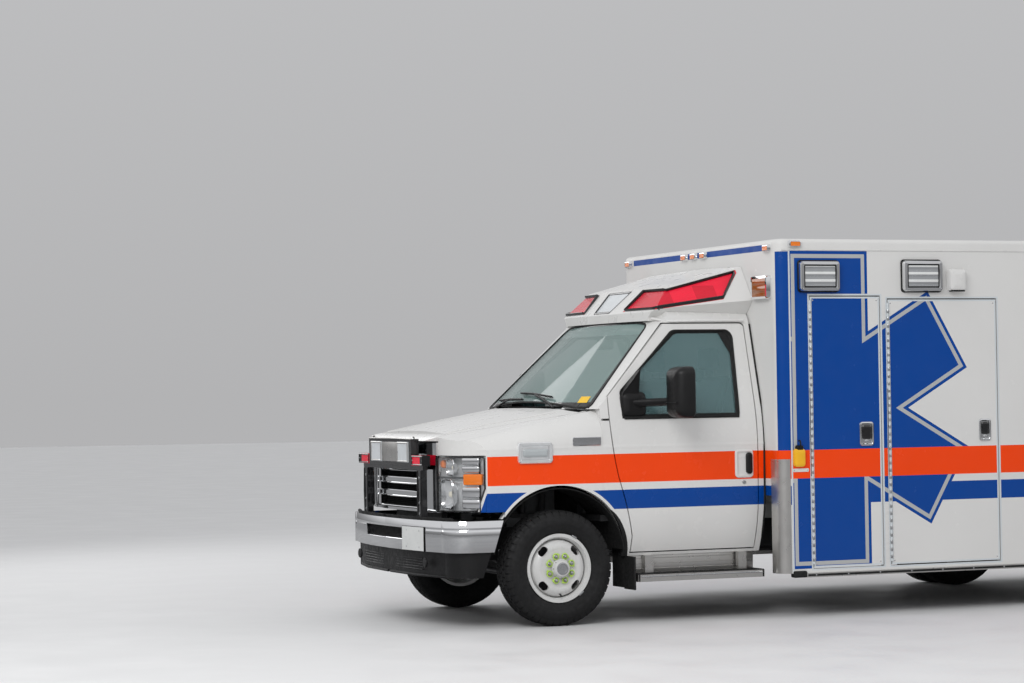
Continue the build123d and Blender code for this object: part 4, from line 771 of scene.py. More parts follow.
FRONT_WHEEL_X, REAR_WHEEL_X, TWIN_SHIFT = 881.5, 940, 134
FRONT_DISC_X, REAR_DISC_X = FRONT_WHEEL_X + 96, REAR_WHEEL_X + 12
BEAD_R = 202.3
STUD_CIRCLE, STUDS = 82.5, 8
PITCHES = 46
# Share of a pitch at which each angular step stands
TREAD_STEPS = (0.0, 0.10, 0.13, 0.47, 0.50, 0.60, 0.63, 0.97)
# Steps that are cut down by CUT_DEPTH, for each group of profile points
CUT_STEPS, CUT_DEPTH = {1: (0, 1), 2: (4, 5), 3: (0, 1)}, 8


def tyre_profile():
    """Half a tyre's section from the bead to the middle of the tread: (across, radius, groove group)."""
    lip, radius = BEAD_R + 20, WHEEL_R
    walls = [
        (67.7, BEAD_R + 0.7, 0), (67.7, lip + 0.4, 0), (78, lip + 3, 0), (91, lip + 7, 0), (99, lip + 17, 0),
        (105, lip + 34, 0), (109, lip + 52, 0), (109.6, lip + 55, 0), (111.3, lip + 57, 0),
        (111.4, lip + 72, 0), (110.6, lip + 88, 0), (107, lip + 103, 0), (105.6, lip + 106, 0),
        (101, radius - 36, 0), (99, radius - 30, 1), (94.5, radius - 14, 1), (84, radius - 6, 1),
        (66, radius - 1.5, 1), (62, radius - 11, 0), (55, radius - 11, 0),
    ]
    tread = [(51.5, radius - 0.5, 2), (27, radius, 2), (24, radius - 10.5, 0), (17, radius - 10.5, 0),
             (14, radius, 3)]
    return walls + tread


def add_tyre(piece, x, y):
    profile = tyre_profile()
    full = profile + [(-px, r, g) for px, r, g in reversed(profile)]
    bm, rings = piece.bm, []
    for pitch in range(PITCHES):
        for step, share in enumerate(TREAD_STEPS):
            angle = math.tau * (pitch + share) / PITCHES
            ring = []
            for px, r, group in full:
                cut = step in CUT_STEPS.get(group, ()) and (group != 1 or r > WHEEL_R - 32)
                low = r - CUT_DEPTH if cut else r
                ring.append(bm.verts.new(polar((x, y, WHEEL_R), low, angle, px)))
            rings.append(ring)
    for number, ring in enumerate(rings):
        ahead = rings[(number + 1) % len(rings)]
        for k in range(len(full)):
            bm.faces.new((ring[k - 1], ring[k], ahead[k], ahead[k - 1]))


def build_tyres():
    for side, label in SIDES:
        front, rear = Piece(), Piece()
        add_tyre(front, FRONT_WHEEL_X, 0)
        for shift in (TWIN_SHIFT, -TWIN_SHIFT):
            add_tyre(rear, REAR_WHEEL_X + shift, REAR_AXLE)
        for piece, plural, end in ((front, "", "front"), (rear, "s", "rear")):
            end = f"{plural}_{end}_{label}"
            piece.done(f"treaded_tyre{end}", "tyre", "tyre", side, 40, f"wheel{end}", [f"tyre{end}"])


def wheel_fittings(hub):
    """Nuts on their washers, with a ring and a pointing tag round each, in front of a disc."""
    piece = Piece()
    for angle in turns(STUDS, 0.5):
        spot = polar(hub, STUD_CIRCLE, angle)
        piece.lathe([(0, 19), (3, 19), (4, 16)], spot, "X", 20)
        piece.lathe([(3, 14), (20, 13.4), (23, 10.5), (23, 7)], spot, "X", 6)
        piece.lathe([(20, 7), (31, 7), (32, 5.5)], spot, "X", 10)
        outward, across = (Vector(polar((0, 0, 0), 1, a)) for a in (angle, angle + math.pi / 2))
        ring = [Vector(spot) + Vector((12, 0, 0)) + 18 * (outward * math.sin(a) + across * math.cos(a))
                for a in turns(14)]
        piece.pipe(ring, 4.2, 6, True, 1)
        tag = [polar(hub, STUD_CIRCLE + out, angle + ahead, 12) for out, ahead in ((16, 0.18), (6, 0.34))]
        piece.pipe(tag, 3.4, 4, mat=1)
    return piece


def build_wheel_details():
    """Nuts, hub ends, valves and balance weights, and the brakes behind them."""
    for side, label in SIDES:
        hub, body = (FRONT_DISC_X, 0, WHEEL_R), f"wheel_front_{label}"
        piece = wheel_fittings(hub)
        piece.lathe([(0, 62), (24, 61), (30, 56), (40, 53), (46, 47), (47, 40)], hub, "X", 40, 4, caps=False)
        piece.lathe([(47, 40), (51, 39), (52, 31), (48, 29), (48, 0)], hub, "X", 40)
        piece.studs([polar(hub, 55, a, 30) for a in turns(8)], 5, 6)
        piece.pipe([polar(hub, -r, 0, along) for along, r in ((-30, 165), (2, 168), (14, 172))], 4.5, mat=3)
        for angle in (0.5, 2.4):
            x, y, z = polar((968, 0, WHEEL_R), 225, angle)
            piece.box(x - 4, x + 5, y - 20, y + 20, z - 7, z + 7, 3, turn=Matrix.Rotation(-angle, 3, "X"))
        paints = "steel pointer cast black wheel"
        piece.done(f"wheel_nuts_front_{label}", paints, "wheel_white", side, 35, body)

        rotor, hub = Piece(), (0, 0, WHEEL_R)
        rotor.lathe([(812, 80), (812, 168), (822, 170), (822, 80)], hub, "X", 64)
        rotor.lathe([(832, 80), (832, 170), (842, 168), (842, 80)], hub, "X", 64)
        rotor.lathe([(800, 66), (800, 92), (856, 92), (862, 84), (862, 66)], hub, "X", 40)
        for a in turns(32):
            _, y, z = polar(hub, 125, a)
            rotor.box(820, 834, y - 40, y + 40, z - 2, z + 2, 0, 1,
                      turn=Matrix.Rotation(math.pi / 2 - a, 3, "X"))
        rotor.done(f"brake_rotor_{label}", "cast", "axle_black", side, 35, body)

        hub, body = (REAR_DISC_X, REAR_AXLE, WHEEL_R), f"wheels_rear_{label}"
        piece = wheel_fittings(hub)
        piece.lathe([(0, 61), (40, 60), (46, 57), (108, 55), (116, 50), (118, 40), (118, 0)], hub, "X", 40, 2)
        piece.studs([polar(hub, 44, a, 118) for a in turns(8)], 5.5, 7)
        piece.done(f"wheel_nuts_rear_{label}", "steel pointer cast", "wheel_white", side, 35, body)

        drum, hub = Piece(), (0, REAR_AXLE, WHEEL_R)
        drum.lathe([(700, 150), (704, 186), (716, 190), (790, 190), (796, 184), (800, 120)], hub, "X", 56)
        for x in range(722, 779, 8):
            drum.lathe([(x, 190), (x + 1, 193), (x + 4, 193), (x + 5, 190)], hub, "X", 56)
        drum.done(f"brake_drum_{label}", "cast", "axle_black", side, 35, body)


# Front


def build_bumper():
    """The bumper's pad and slotted opening, and the blank plate on its face."""
    bumper = Piece()
    bar = ((40, -824), (220, -818), (420, -806), (620, -783), (800, -741), (900, -700))
    for side in (-1, 1):
        bumper.pipe([(side * x, y, 699) for x, y in bar], 9, flat=2.0)
        for k in range(6):
            groove = (60 + 4 * k, -812 + 9 * k, 701), (420, -796 + 9 * k, 701), (780, -735 + 9 * k, 701)
            bumper.pipe(sided(side, *groove), 2.4, 6)
    grid = []
    for x in range(-900, 901, 150):
        y = -829 + 0.000155 * x * x
        grid.append([(x, y + 6, 693), (x, y + 6, 698), (x, y + 70, 698), (x, y + 70, 693)])
    bumper.sheet(grid, closed=True)
    bumper.slab([(-414, 558), (414, 558), (414, 637), (-414, 637)], "Y", -788, -786, 0, 1)
    for k in range(9):
        bumper.box(-412, 412, -806, -790, 564 + 8.2 * k, 566 + 8.2 * k, 0.6, 1, 1)
    opening = ((-414, -822, 558), (0, -830, 558), (414, -819, 558), (414, -819, 638), (0, -830, 638),
               (-414, -822, 638))
    bumper.rim(opening, 60, 5, 2)
    bumper.done("bumper_pad", "rubber black chrome", "trim_black")

    plate = Piece()
    inner, outer = (touch("front_bumper", (x, -2000, 660), (0, 1, 0)) for x in (340, 615))
    slope, middle = (outer.y - inner.y) / (outer.x - inner.x), (inner + outer) / 2
    x, y, tilt = middle.x, middle.y, Matrix.Rotation(math.atan(slope), 3, "Z")
    plate.box(x - 152.5, x + 152.5, y - 7.5, y - 5.5, 493, 645, 0.8, 1, 0, tilt)
    plate.box(x - 157, x + 157, y - 5.5, y - 0.5, 489, 649, 1.5, 2, 1, tilt)
    for z in (516, 622):
        plate.studs([(u, y - 6.5 + (u - x) * slope, z) for u in (389, 567)], 6, -2.5, "Y", 2, 12)
    plate.done("blank_front_plate", "blank_plate black steel", "trim_black", 1, 35)


def build_air_dam():
    dam = Piece()
    for side in (-1, 1):
        for z in range(372, 441, 17):
            dam.pipe(sided(side, (120, -807, z), (330, -800, z), (560, -782, z)), 4, 6)
        lip = (20, -812, 336), (480, -796, 336), (800, -730, 336), (940, -640, 336)
        dam.pipe(sided(side, *lip), 9)
        plug = [(-790, 0.1), (-790, 30), (-797, 34), (-803, 30), (-803, 0.1)]
        dam.lathe(plug, (side * 640, 0, 420), "Y", 24)
    dam.done("air_dam_slats", "black", "trim_black", 1, 35)


def build_grille():
    """The mesh behind the grille, the bright edges of its bars and the frames at its sides."""
    mesh = Piece()
    mesh.slab([(-478, 742), (478, 742), (478, 1106), (-478, 1106)], "Y", -652, -650, 0, 1)
    for z in range(766, 1103, 12):
        mesh.box(-420, 420, -668, -656, z, z + 2, 0.5, 1)
    for x in range(-412, 414, 25):
        mesh.box(x - 1, x + 1, -672, -656, 764, 1104, 0.5, 1)
    mesh.done("grille_mesh", "black gloss_black", "trim_black", 1, 35)

    trim = Piece()
    opening = ((-419, -742, 762), (0, -743, 762), (419, -736, 762), (419, -736, 1106), (0, -743, 1106),
               (-419, -736, 1106))
    trim.rim(opening, 40, 7)
    for z in (847.5, 934, 1020.5):
        for lift in (-19, 19):
            ends = z + lift * 0.8
            trim.pipe([(-418, -724, ends), (-200, -729, z + lift), (0, -731, z + lift), (200, -729, z + lift),
                       (418, -724, ends)], 4.5)
    for side in (-1, 1):
        trim.pipe(sided(side, (596, -694, 744), (596, -696, 900), (596, -694, 1100)), 6)
        trim.pipe(sided(side, (432, -738, 748), (520, -722, 746), (596, -700, 744)), 6)
    trim.done("grille_edges", "chrome", "chrome_trim")


def build_guard():
    """Bezels, screws and edge strips of the grille guard."""
    guard = Piece()
    for side in (-1, 1):
        for x, half, y, z0, z1, paint in ((527, 103, -800, 1041, 1106, 0), (260, 104, -804, 1060, 1192, 2)):
            x0, x1 = side * x - half + 6, side * x + half - 6
            guard.rim(((x0, y, z0 + 6), (x1, y, z0 + 6), (x1, y, z1 - 6), (x0, y, z1 - 6)), 20, 5, paint)
            guard.studs([(u, y, (z0 + z1) / 2) for u in (x0 + 8, x1 - 8)], 5, -4, "Y", 1, 10)
        guard.studs([(side * 527, -786, z) for z in (730, 800, 960)], 9, -6, "Y", 1)
        for x in (side * 494, side * 560):
            guard.pipe([(x, -786, 700), (x, -789, 850), (x, -786, 1008)], 5)
        guard.box(side * 527 - 46, side * 527 + 46, -792, -742, 692, 704, 3)
        guard.pipe(sided(side, (400, -772, 1212), (400, -772, 1222), (380, -772, 1224)), 4, mat=3)
    guard.pipe([(-412, -798, 1212), (0, -800, 1215), (412, -798, 1212)], 4, mat=2)
    guard.box(-150, 150, -803, -799, 1062, 1190, 3, 2, 2)
    guard.done("guard_fittings", "gloss_black steel plate rubber", "guard_black", 1, 35)


def build_headlamps():
    """Reflector bowls, bulbs, turn lamps and the black seam inside the clear lens of each headlamp."""
    path = ((622, -676), (700, -652), (790, -622), (870, -582), (930, -540), (962, -512))
    turn = Matrix.Rotation(math.radians(44), 3, "Z")
    for side, label in SIDES:
        piece, rows = Piece(), []
        for k, z in enumerate((752, 840, 925, 1010, 1098)):
            fold = k % 2
            rows.append([(x - 8 * fold, y + 12 * fold, z) for x, y in path])
        piece.sheet(rows, 3)
        low_bowl = [(0, -34), (4, -42), (10, -40), (26, -6), (56, 16), (80, 22)]
        piece.mould(636, 850, 762, 956, 46, low_bowl, -640, "Y", 1)
        piece.lathe([(-662, 0), (-660, 16), (-640, 22), (-618, 22)], (742, 0, 858), "Y", 20, 2)
        high_bowl = [(0, -30), (4, -36), (10, -34), (24, -6), (44, 12)]
        piece.mould(700, 838, 976, 1086, 34, high_bowl, -632, "Y", 1)
        piece.lathe([(-650, 0), (-648, 11), (-632, 15), (-612, 15)], (768, 0, 1030), "Y", 16, 2)
        piece.lathe([(-684, 0), (-682, 18), (-672, 27), (-654, 28)], (658, 0, 1052), "Y", 24, 3)
        piece.box(862, 992, -590, -538, 920, 990, 9, 3, 3, turn)
        piece.box(908, 946, -596, -582, 936, 974, 12, 4, 2, turn)
        for z0, z1 in ((1000, 1040), (1050, 1092), (770, 828), (842, 908)):
            piece.box(862, 984, -596, -560, z0, z1, 9, 3, 1, turn)
        edge = [(x + 4, y - 26, 746) for x, y in path] + [(x + 4, y - 26, 1104) for x, y in reversed(path)]
        piece.pipe(even(edge, 40), 6, 6, True, 4)
        for z in (962, 968):
            piece.pipe([(x + 4, y - 20, z) for x, y in path], 4, 6, mat=4)
        rim = [touch("headlamps", (x, -1500, 1096), (0, 1, 0)) for x in range(614, 985, 30)]
        rim += [touch("headlamps", (2000, -512, z), (-1, 0, 0)) for z in range(1090, 920, -40)]
        for z in range(900, 750, -24):
            line = FRONT_SLOPE * z + LENS_FOOT * 1000
            rim.append(touch("headlamps", (2000, line - 5, z), (-1, 0, 0)))
        rim += [touch("headlamps", (x, -1500, 752), (0, 1, 0)) for x in range(900, 610, -30)]
        piece.pipe([p for p in rim if p], 8, 8, True, 4, 0.7)
        paints = "reflector chrome bulb amber gloss_black"
        piece.done(f"headlamp_inside_{label}", paints, "lamp_clear", side, 35)


def on_glass(x, z, ahead=12):
    """A place in front of the windscreen at a width and height."""
    place = touch("windscreen", (x, -600, z), (0, 1, 0))
    return Vector((x, place.y - ahead, z + ahead * 0.6))


def wiper(piece, pivot_x, arm_end, blade):
    """A wiper's spindle cap, arm and blade lying on the windscreen."""
    foot = on_glass(pivot_x, 1424) + Vector((0, -6, -40))
    piece.lathe([(0, 15), (14, 14), (18, 10), (18, 0)], foot, "Z", 16)
    end, start = on_glass(*arm_end, 22), foot + Vector((0, 0, 12))
    piece.pipe([start, start.lerp(end, 0.3) + Vector((0, -2, 8)), end], 8, 6, flat=0.7)
    for lift, radius in ((10, 4), (18, 6)):
        run = on_glass(*blade[0], lift), on_glass(*arm_end, lift + 4), on_glass(*blade[1], lift)
        piece.pipe(run, radius, 6, flat=1.4)


def build_cowl():
    """Slots of the cowl, wipers and washer jets, and the seal that closes the cowl's outer ends."""
    piece = Piece()
    for x in range(-690, 661, 30):
        y = 150 + 110 * (x / 850) ** 2
        piece.box(x - 3, x + 3, y + 10, y + 82, 1380, 1386, 1.5, 1)
    wiper(piece, 450, (60, 1482), ((-220, 1490), (360, 1462)))
    wiper(piece, -600, (-330, 1446), ((-590, 1440), (-80, 1448)))
    for x in (-330, 330):
        piece.lathe([(0, 11), (8, 10), (12, 6), (12, 0)], (x, 168, 1380), "Z", 12)
    for x0, x1 in ((600, 738), (824, 876)):
        for side in (1, -1):
            rows = []
            for k in range(7):
                x = x0 + (x1 - x0) * k / 6
                edge = on_glass(min(x, 850), 1424, 0).y
                row = []
                for y in (edge - 40, edge - 25, edge - 10, edge + 4):
                    under = ("cab_sides", "fenders", "windscreen")
                    tops = [touch(node, (x, y, 1600), (0, 0, -1)) for node in under]
                    row.append((side * x, y, max(top.z for top in tops if top) + 2))
                rows.append(row)
            piece.sheet(rows, 2)
    piece.done("cowl_grille_and_wipers", "black", "trim_black")


def build_hood_details():
    """Pressed lines and the front edge bead of the hood."""
    piece = Piece()
    line = ((575, -610), (590, -480), (610, -330), (635, -180), (662, -30), (690, 110))
    crest = [touch("hood", (x, y, 1600), (0, 0, -1)) for x, y in line]
    for side in (-1, 1):
        piece.pipe(sided(side, *[(p.x, p.y, p.z - 1) for p in crest]), 7, 12, flat=0.6)
    bead = [(x, -696 + 0.00016 * x * x, 1212 - 0.00003 * x * x) for x in range(-560, 561, 80)]
    piece.pipe(bead, 5, mat=1)
    piece.done("hood_lines", "white black", "body_white", 1, 60, "hood")


# Cab


def build_door_seals(side, label, body):
    """Window seals, their corner patch and the sill strip under the pane."""
    loops = sharp_loops(body, lambda x, y, z: z > 1310 and 440 < y < 1345)
    seal = Piece()
    for loop in loops[:2]:
        seal.rim(loop, 22, 9, 0, 0.8)
    outer = [Vector((abs(p.x), p.y, p.z)) for p in loops[0]]
    middle = sum(outer, Vector()) / len(outer)
    rows = []
    for grow, push in ((-26, -9), (-6, 1.5), (7, 2.5), (11, -1)):
        grow *= 0.7
        rows.append([(side * (p.x + push), p.y + grow * (1 if p.y > middle.y else -1),
                      p.z + grow * (1 if p.z > middle.z else -1)) for p in outer])
    seal.sheet(rows, closed=True)
    rows = []
    for row in (((1322, 1826), (1262, 1894)), ((1322, 1700), (1228, 1894))):
        rows.append([(side * (skin_x("cab_door_glass_left", 1240, z) + 3), y, z) for y, z in row])
    seal.sheet(rows, 3)
    sill_x = side * (skin_x("cab_door_left", 900, 1326) + 4)
    seal.pipe([(sill_x, y, 1327) for y in (470, 700, 1000, 1300)], 8)
    seal.done(f"window_seal_{label}", "rubber", "trim_black", 1, 50, body)


def build_mirror(side, label, body):
    """Mirror head with two glasses, its sail on the door, and the arm between them."""
    mirror = Piece()
    low, high = size_mm("mirror_left")
    wide, deep, tall = 232, 132, 340
    x0, x1, y0, z0, z1 = high.x - wide, high.x, high.y - deep, high.z - tall, high.z
    shell = [(58, 4), (40, 8), (18, 24), (5, 50), (0, 82), (0, 124), (6, 130), (12, 130), (15, 118)]
    for levels, cap in ((shell, False), ([(59, 4), (70, 1.5), (95, 0.5)], True)):
        mirror.mould(x0 + 4, x1 - 4, z0 + 4, z1 - 4, 52, levels, y0, "Y", 0, cap)
    for foot, top in ((z0 + 108, z1 - 22), (z0 + 20, z0 + 98)):
        mirror.mould(x0 + 20, x1 - 20, foot, top, 20, [(0, 118), (0, 123), (3, 124)], y0, "Y", 1)
    fold = z0 + 104
    mirror.pipe([(x0 + 30, y0 + 1, fold), ((x0 + x1) / 2, y0 - 1, fold), (x1 - 30, y0 + 1, fold)], 4, 6)
    base_x = low.x + 6
    sail = ((456, 1332), (574, 1332), (574, 1460), (574, 1640), (566, 1636), (520, 1576), (462, 1490))
    rows = []
    for push in (-30, 16):
        rows.append([(skin_x("cab_door_left", 400, z) + push if z > 1500 else base_x + 20 + push, y, z)
                     for y, z in sail])
    mirror.sheet(rows, closed=True)
    for row in rows:
        mirror.bm.faces.new([mirror.bm.verts.new(p) for p in row])
    mirror.mould(452, 632, 1328, 1500, 44, [(0, -14), (0, 20), (6, 34), (22, 46), (50, 52)], base_x)
    arm = ((base_x + 30, 545, 1424), (base_x + 90, 610, 1426), (x0 - 16, 716, 1430), (x0 + 40, 752, 1430))
    mirror.pipe(arm, 31, 16, flat=0.75)
    mirror.box(x0 - 34, x0 + 12, 716, 782, 1384, 1468, 14, 3)
    mirror.done(f"mirror_head_{label}", "black mirror", "trim_black", side, 40, body, [f"mirror_{label}"])


def build_door_trim():
    """Window seals, mirrors, handles and inner panels of both cab doors."""
    for side, label in SIDES:
        body = f"cab_door_{label}"
        build_door_seals(side, label, body)

        handle, x = Piece(), skin_x("cab_door_left", 1320, 1010)
        handle.mould(1256, 1390, 921, 1108, 26, [(0, -2), (0, 4), (4, 8), (14, 9), (22, 2), (30, 1.2)], x)
        handle.mould(1336, 1380, 946, 1086, 20, [(0, 0), (0, 14), (6, 20), (14, 22)], x, "X", 1)
        lock = [(x - 2, 13), (x + 5, 12), (x + 6, 8), (x + 4, 7), (x + 4, 0)]
        handle.lathe(lock, (0, 1322, 892), "X", 24, 2)
        handle.done(f"door_handle_{label}", "white black steel", "body_white", side, 40, body)

        build_mirror(side, label, body)

        inner, x = Piece(), 946
        inner.mould(480, 1330, 560, 1290, 60, [(0, 0), (0, -8), (14, -20), (60, -26)], x)
        inner.mould(760, 1180, 1000, 1110, 30, [(0, -20), (0, -60), (14, -78), (30, -80)], x, "X", 1)
        inner.mould(600, 1250, 590, 760, 30, [(0, -20), (0, -50), (10, -58)], x, "X", 1)
        inner.lathe([(0, 18), (-28, 16), (-32, 0)], (900, 700, 1060), "X", 16, 1)
        inner.mould(690, 760, 1130, 1180, 14, [(0, -20), (0, -30), (6, -36)], x, "X", 2)
        inner.done(f"door_panel_{label}", "trim dark_trim chrome", "cab_trim", side, 40, body)


def build_screen_trim():
    """The windscreen's gasket and a blank sticker in its corner."""
    gasket = Piece()
    gasket.rim(max(sharp_loops("windscreen", lambda x, y, z: True), key=len), 30, 9, 0, 0.8)
    gasket.done("windscreen_gasket", "rubber", "trim_black", 1, 50)
    sticker = Piece()
    corners = [Vector(p) for p in ((700, 248, 1422), (800, 292, 1422), (780, 322, 1462), (682, 284, 1462))]
    for spot in corners:
        place = touch("windscreen", (spot.x, spot.y - 600, spot.z + 10), (0, 1, 0))
        spot.y, spot.z = place.y - 3, place.z
    sticker.sheet([corners[:2], [corners[3], corners[2]]], 1.2)
    sticker.done("blank_sticker", "sticker", "trim_black", 1, 35)


def build_wheel_flap(side, label):
    """The rubber flap behind the front wheel and the flare that rises from it round the arch."""
    flap = Piece()
    flap.box(700, 884, 495, 504, 222, 600, 3)
    rows = []
    for k in range(9):
        angle = math.radians(40 - 5 * k)
        c, s = math.cos(angle), math.sin(angle)
        out = 4 + 34 * (k / 8) ** 0.6
        y, z = ARCH_R * c, ARCH_Z + ARCH_R * s
        far_y, far_z = y + out * c, z + out * s
        on_fender = touch("fenders", (2000, y + 2, z + 4), (-1, 0, 0))
        base = on_fender.x if on_fender else skin_x("cab_sides", far_y, far_z)
        rows.append([(base - 12, y - 2, z), (base + 4, y - 1, z),
                     (base + 5, (y + far_y) / 2, (z + far_z) / 2), (base + 1, far_y, far_z)])
    flap.sheet(rows, 3)
    flap.done(f"wheel_flap_{label}", "rubber", "trim_black", side)


def build_cab_trim():
    """Gutter, fender lamp, blank badge, arch edge, rear seam, wheel flap and step grips of each side."""
    for side, label in SIDES:
        piece = Piece()
        gutter = ((706, 806, 1984), (790, 852, 1966), (824, 900, 1962), (829, 1100, 1966), (829, 1420, 1966))
        piece.pipe(gutter, 9, flat=0.7)
        x = skin_x("fenders", -170, 1116)
        rim = [(0, -6), (0, 8), (5, 14), (20, 14), (26, 7)]
        piece.mould(-290, -49, 1048, 1185, 24, rim, x, "X", 6, False)
        piece.mould(-270, -69, 1066, 1167, 14, [(0, 2), (3, 5), (12, 6)], x, "X", 6)
        piece.mould(-256, -84, 1092, 1140, 10, [(0, 5), (0, 12), (6, 17), (14, 19)], x, "X", 5)
        for y in (-278, -61):
            piece.studs([(x + 13, y, z) for z in (1060, 1173)], 4, 3, "X", 3, 8)
        badge_x = skin_x("fenders", 205, 1184)
        piece.mould(92, 292, 1156, 1211, 8, [(0, -8), (0, 4), (3, 7), (8, 7)], badge_x, "X", 1)
        arch = [(600, 452), (985, 452), (985, 457), (600, 457)]
        piece.lathe(arch, (0, 0, ARCH_Z), "X", 40, 4, 168 / 360, math.radians(6))
        seam = ((816, 1940), (888, 1685), (960, 1430), (985, 1265), (1002, 1100), (1003, 950), (1003, 800),
                (975, 603), (910, 450))
        piece.pipe([(x - 1, 1474, z) for x, z in seam], 7, mat=4)
        paints = "white chrome lens steel rubber fender_lamp reflector"
        piece.done(f"cab_trim_{label}", paints, "body_white", side)

        build_wheel_flap(side, label)

        step = Piece()
        for x in range(906, 1015, 27):
            step.box(x, x + 12, 540, 1424, 311, 318, 2.5)
        for y in (532, 1432):
            step.box(892, 1046, y - 8, y + 8, 266, 318, 5, 3)
        step.pipe([(1046, 545, 300), (1046, 1420, 300)], 4, mat=1)
        step.box(884, 889, 528, 1436, 308, 446, 1.5, 2, 2)
        for z in (338, 372, 406):
            step.box(888, 892, 540, 1424, z, z + 6, 1.5, 1, 2)
        step.done(f"step_grips_{label}", "rubber steel plate", "step_aluminium", side)


def line_up(start, end, steps):
    """Rays towards the middle plane, spread between two (y, z) places."""
    (y0, z0), (y1, z1) = start, end
    shares = [k / steps for k in range(steps + 1)]
    return [((2000, y0 + (y1 - y0) * s, z0 + (z1 - z0) * s), (-1, 0, 0)) for s in shares]


def build_fairing_trim():
    """Dark borders laid round the fairing's lenses, and a black line of painted shadow along its foot."""
    rays = [((x, 400, 2046), (0, 1, 0)) for x in range(240, 731, 14)]
    rays += line_up((838, 2052), (1284, 2115), 12) + line_up((1290, 2117), (1420, 2282), 7)
    rays += line_up((1420, 2292), (940, 2170), 14)
    run = [place for place in (touch("warning_lamps", *ray) for ray in rays) if place and place.y < 1440]
    corner_y = run[-1].y
    for x in range(700, 240, -14):
        edge = touch("warning_lamps", (x, 400, 2172), (0, 1, 0))
        if edge and edge.y < corner_y:
            run.append(edge)
    for side, label in SIDES:
        piece = Piece()
        piece.pipe(sided(side, *run), 20, 8, True, 0, 0.45)
        piece.done(f"fairing_border_{label}", "gloss_black", "trim_black")
    piece, ring = Piece(), []
    corners = ((-128, 2040), (128, 2040), (180, 2176), (-180, 2176))
    for number, (x0, z0) in enumerate(corners):
        x1, z1 = corners[(number + 1) % 4]
        for share in (k / 8 for k in range(8)):
            spot = (x0 + (x1 - x0) * share, 400, z0 + (z1 - z0) * share)
            ring.append(touch("warning_lamps", spot, (0, 1, 0)))
    piece.pipe([place for place in ring if place], 10, 8, True, 0, 0.7)
    # Painted shadow: a black line along the fairing's foot stands for the shade of the gap under its edge
    foot = [touch("roof_fairing", (x, 400, 2006), (0, 1, 0)) for x in range(-650, 651, 50)]
    piece.pipe([(place.x, place.y + 6, 1990) for place in foot if place], 5)
    piece.done("fairing_border_middle", "gloss_black", "trim_black")


# Box body


# Levels of a handle's rim and of a door's inner panel, which stands DOOR_DEPTH behind the outer skin
RIM = [(0, -1), (0, 4), (3, 8), (12, 9), (17, 4), (19, 0.5)]
PANEL = [(0, 6), (0, -3), (8, -8), (30, -9)]
DOOR_DEPTH = 46


def build_side_doors():
    """Handle with its paddle and lock, hinge knuckles, screws and inner panel of each side door."""
    for name, side, front, rear, (y0, y1, z0, z1) in DOORS:
        piece = Piece()
        piece.mould(y0, y1, z0, z1, 22, RIM, SIDE)
        piece.mould(y0 + 22, y1 - 22, z0 + 46, z1 - 24, 14, [(0, 0), (0, 9), (4, 13), (14, 14)], SIDE, "X", 1)
        lock = [(SIDE, 10), (SIDE + 6, 10), (SIDE + 7, 7), (SIDE + 5, 6), (SIDE + 5, 0)]
        piece.lathe(lock, (0, (y0 + y1) / 2, z0 + 32), "X", 20)
        low, high = size_mm(name)
        for number in range(int((high.z - low.z - 60) / 48)):
            knuckle = [(0, 5), (0, 8.2), (1, 8.6), (23, 8.6), (24, 8.2), (24, 5)]
            piece.lathe(knuckle, (SIDE + 4, front + 4, low.z + 40 + 48 * number), "Z", 12, 2)
        screws = [(SIDE, y, z) for z in (low.z + 24, high.z - 24) for y in (front + 26, rear - 30)]
        piece.studs(screws, 5, 2.4, "X", 0, 10)
        piece.mould(front + 30, rear - 30, low.z + 30, high.z - 30, 30, PANEL, SIDE - DOOR_DEPTH, "X", 3)
        if name == "entry_door":
            window = ((2494, 1400), (2954, 1400), (2954, 1960), (2494, 1960))
            piece.rim([(SIDE + 1, y, z) for y, z in window], 30, 11, 4)
        paints = "chrome gloss_black steel inside rubber"
        piece.done(f"fittings_{name}", paints, "chrome_trim", side, 40, name)


def build_rear_doors():
    """Handles, grab bars, hinges, window seals and plates of the two rear doors."""
    y = MODULE_REAR
    for side, label in SIDES:
        piece = Piece()
        rim = [(0, -1), (0, 4), (3, 8), (10, 9), (14, 4), (16, 0.5)]
        piece.mould(34, 118, 1150, 1320, 18, rim, y, "Y")
        piece.mould(52, 100, 1196, 1302, 12, [(0, 0), (0, 9), (4, 13)], y, "Y", 1)
        window = ((110, 1500), (500, 1500), (500, 2000), (110, 2000))
        piece.rim([(x, y + 1, z) for x, z in window], 30, 11, 2)
        bar = (560, y - 2, 1000), (560, y + 38, 1012), (560, y + 38, 1420), (560, y - 2, 1432)
        piece.pipe(bar, 13, 12)
        for z in (1000, 1432):
            piece.lathe([(y - 1, 24), (y + 5, 23), (y + 6, 14)], (560, 0, z), "Y", 20)
        for z in (930, 1300, 1700, 2100, 2270):
            piece.box(592, 634, y - 1, y + 7, z, z + 74, 3)
            piece.lathe([(z, 5), (z, 8.4), (z + 74, 8.4), (z + 74, 5)], (617, y + 4, 0), "Z", 12)
        piece.mould(20, 596, 880, 1160, 12, [(0, -1), (0, 2), (2, 3)], y, "Y", 3)
        for z0, z1 in ((890, 1440), (2040, 2300)):
            piece.mould(30, 590, z0, z1, 30, PANEL, y - DOOR_DEPTH, "Y", 4)
        name, paints = f"rear_door_{label}", "chrome gloss_black rubber tread inside"
        piece.done(f"fittings_{name}", paints, "chrome_trim", side, 40, name)


def bezel(piece, u0, u1, v0, v1, base, depth, width, axis, sign=1, corner=16):
    """A bright frame round a lamp, standing proud of its lens."""
    levels = [(-8, 0), (-8, sign * depth * 0.4), (-2, sign * (depth + 6)), (width * 0.7, sign * (depth + 7)),
              (width, sign * (depth - 3))]
    piece.mould(u0, u1, v0, v1, corner, levels, base, axis, 0, False)


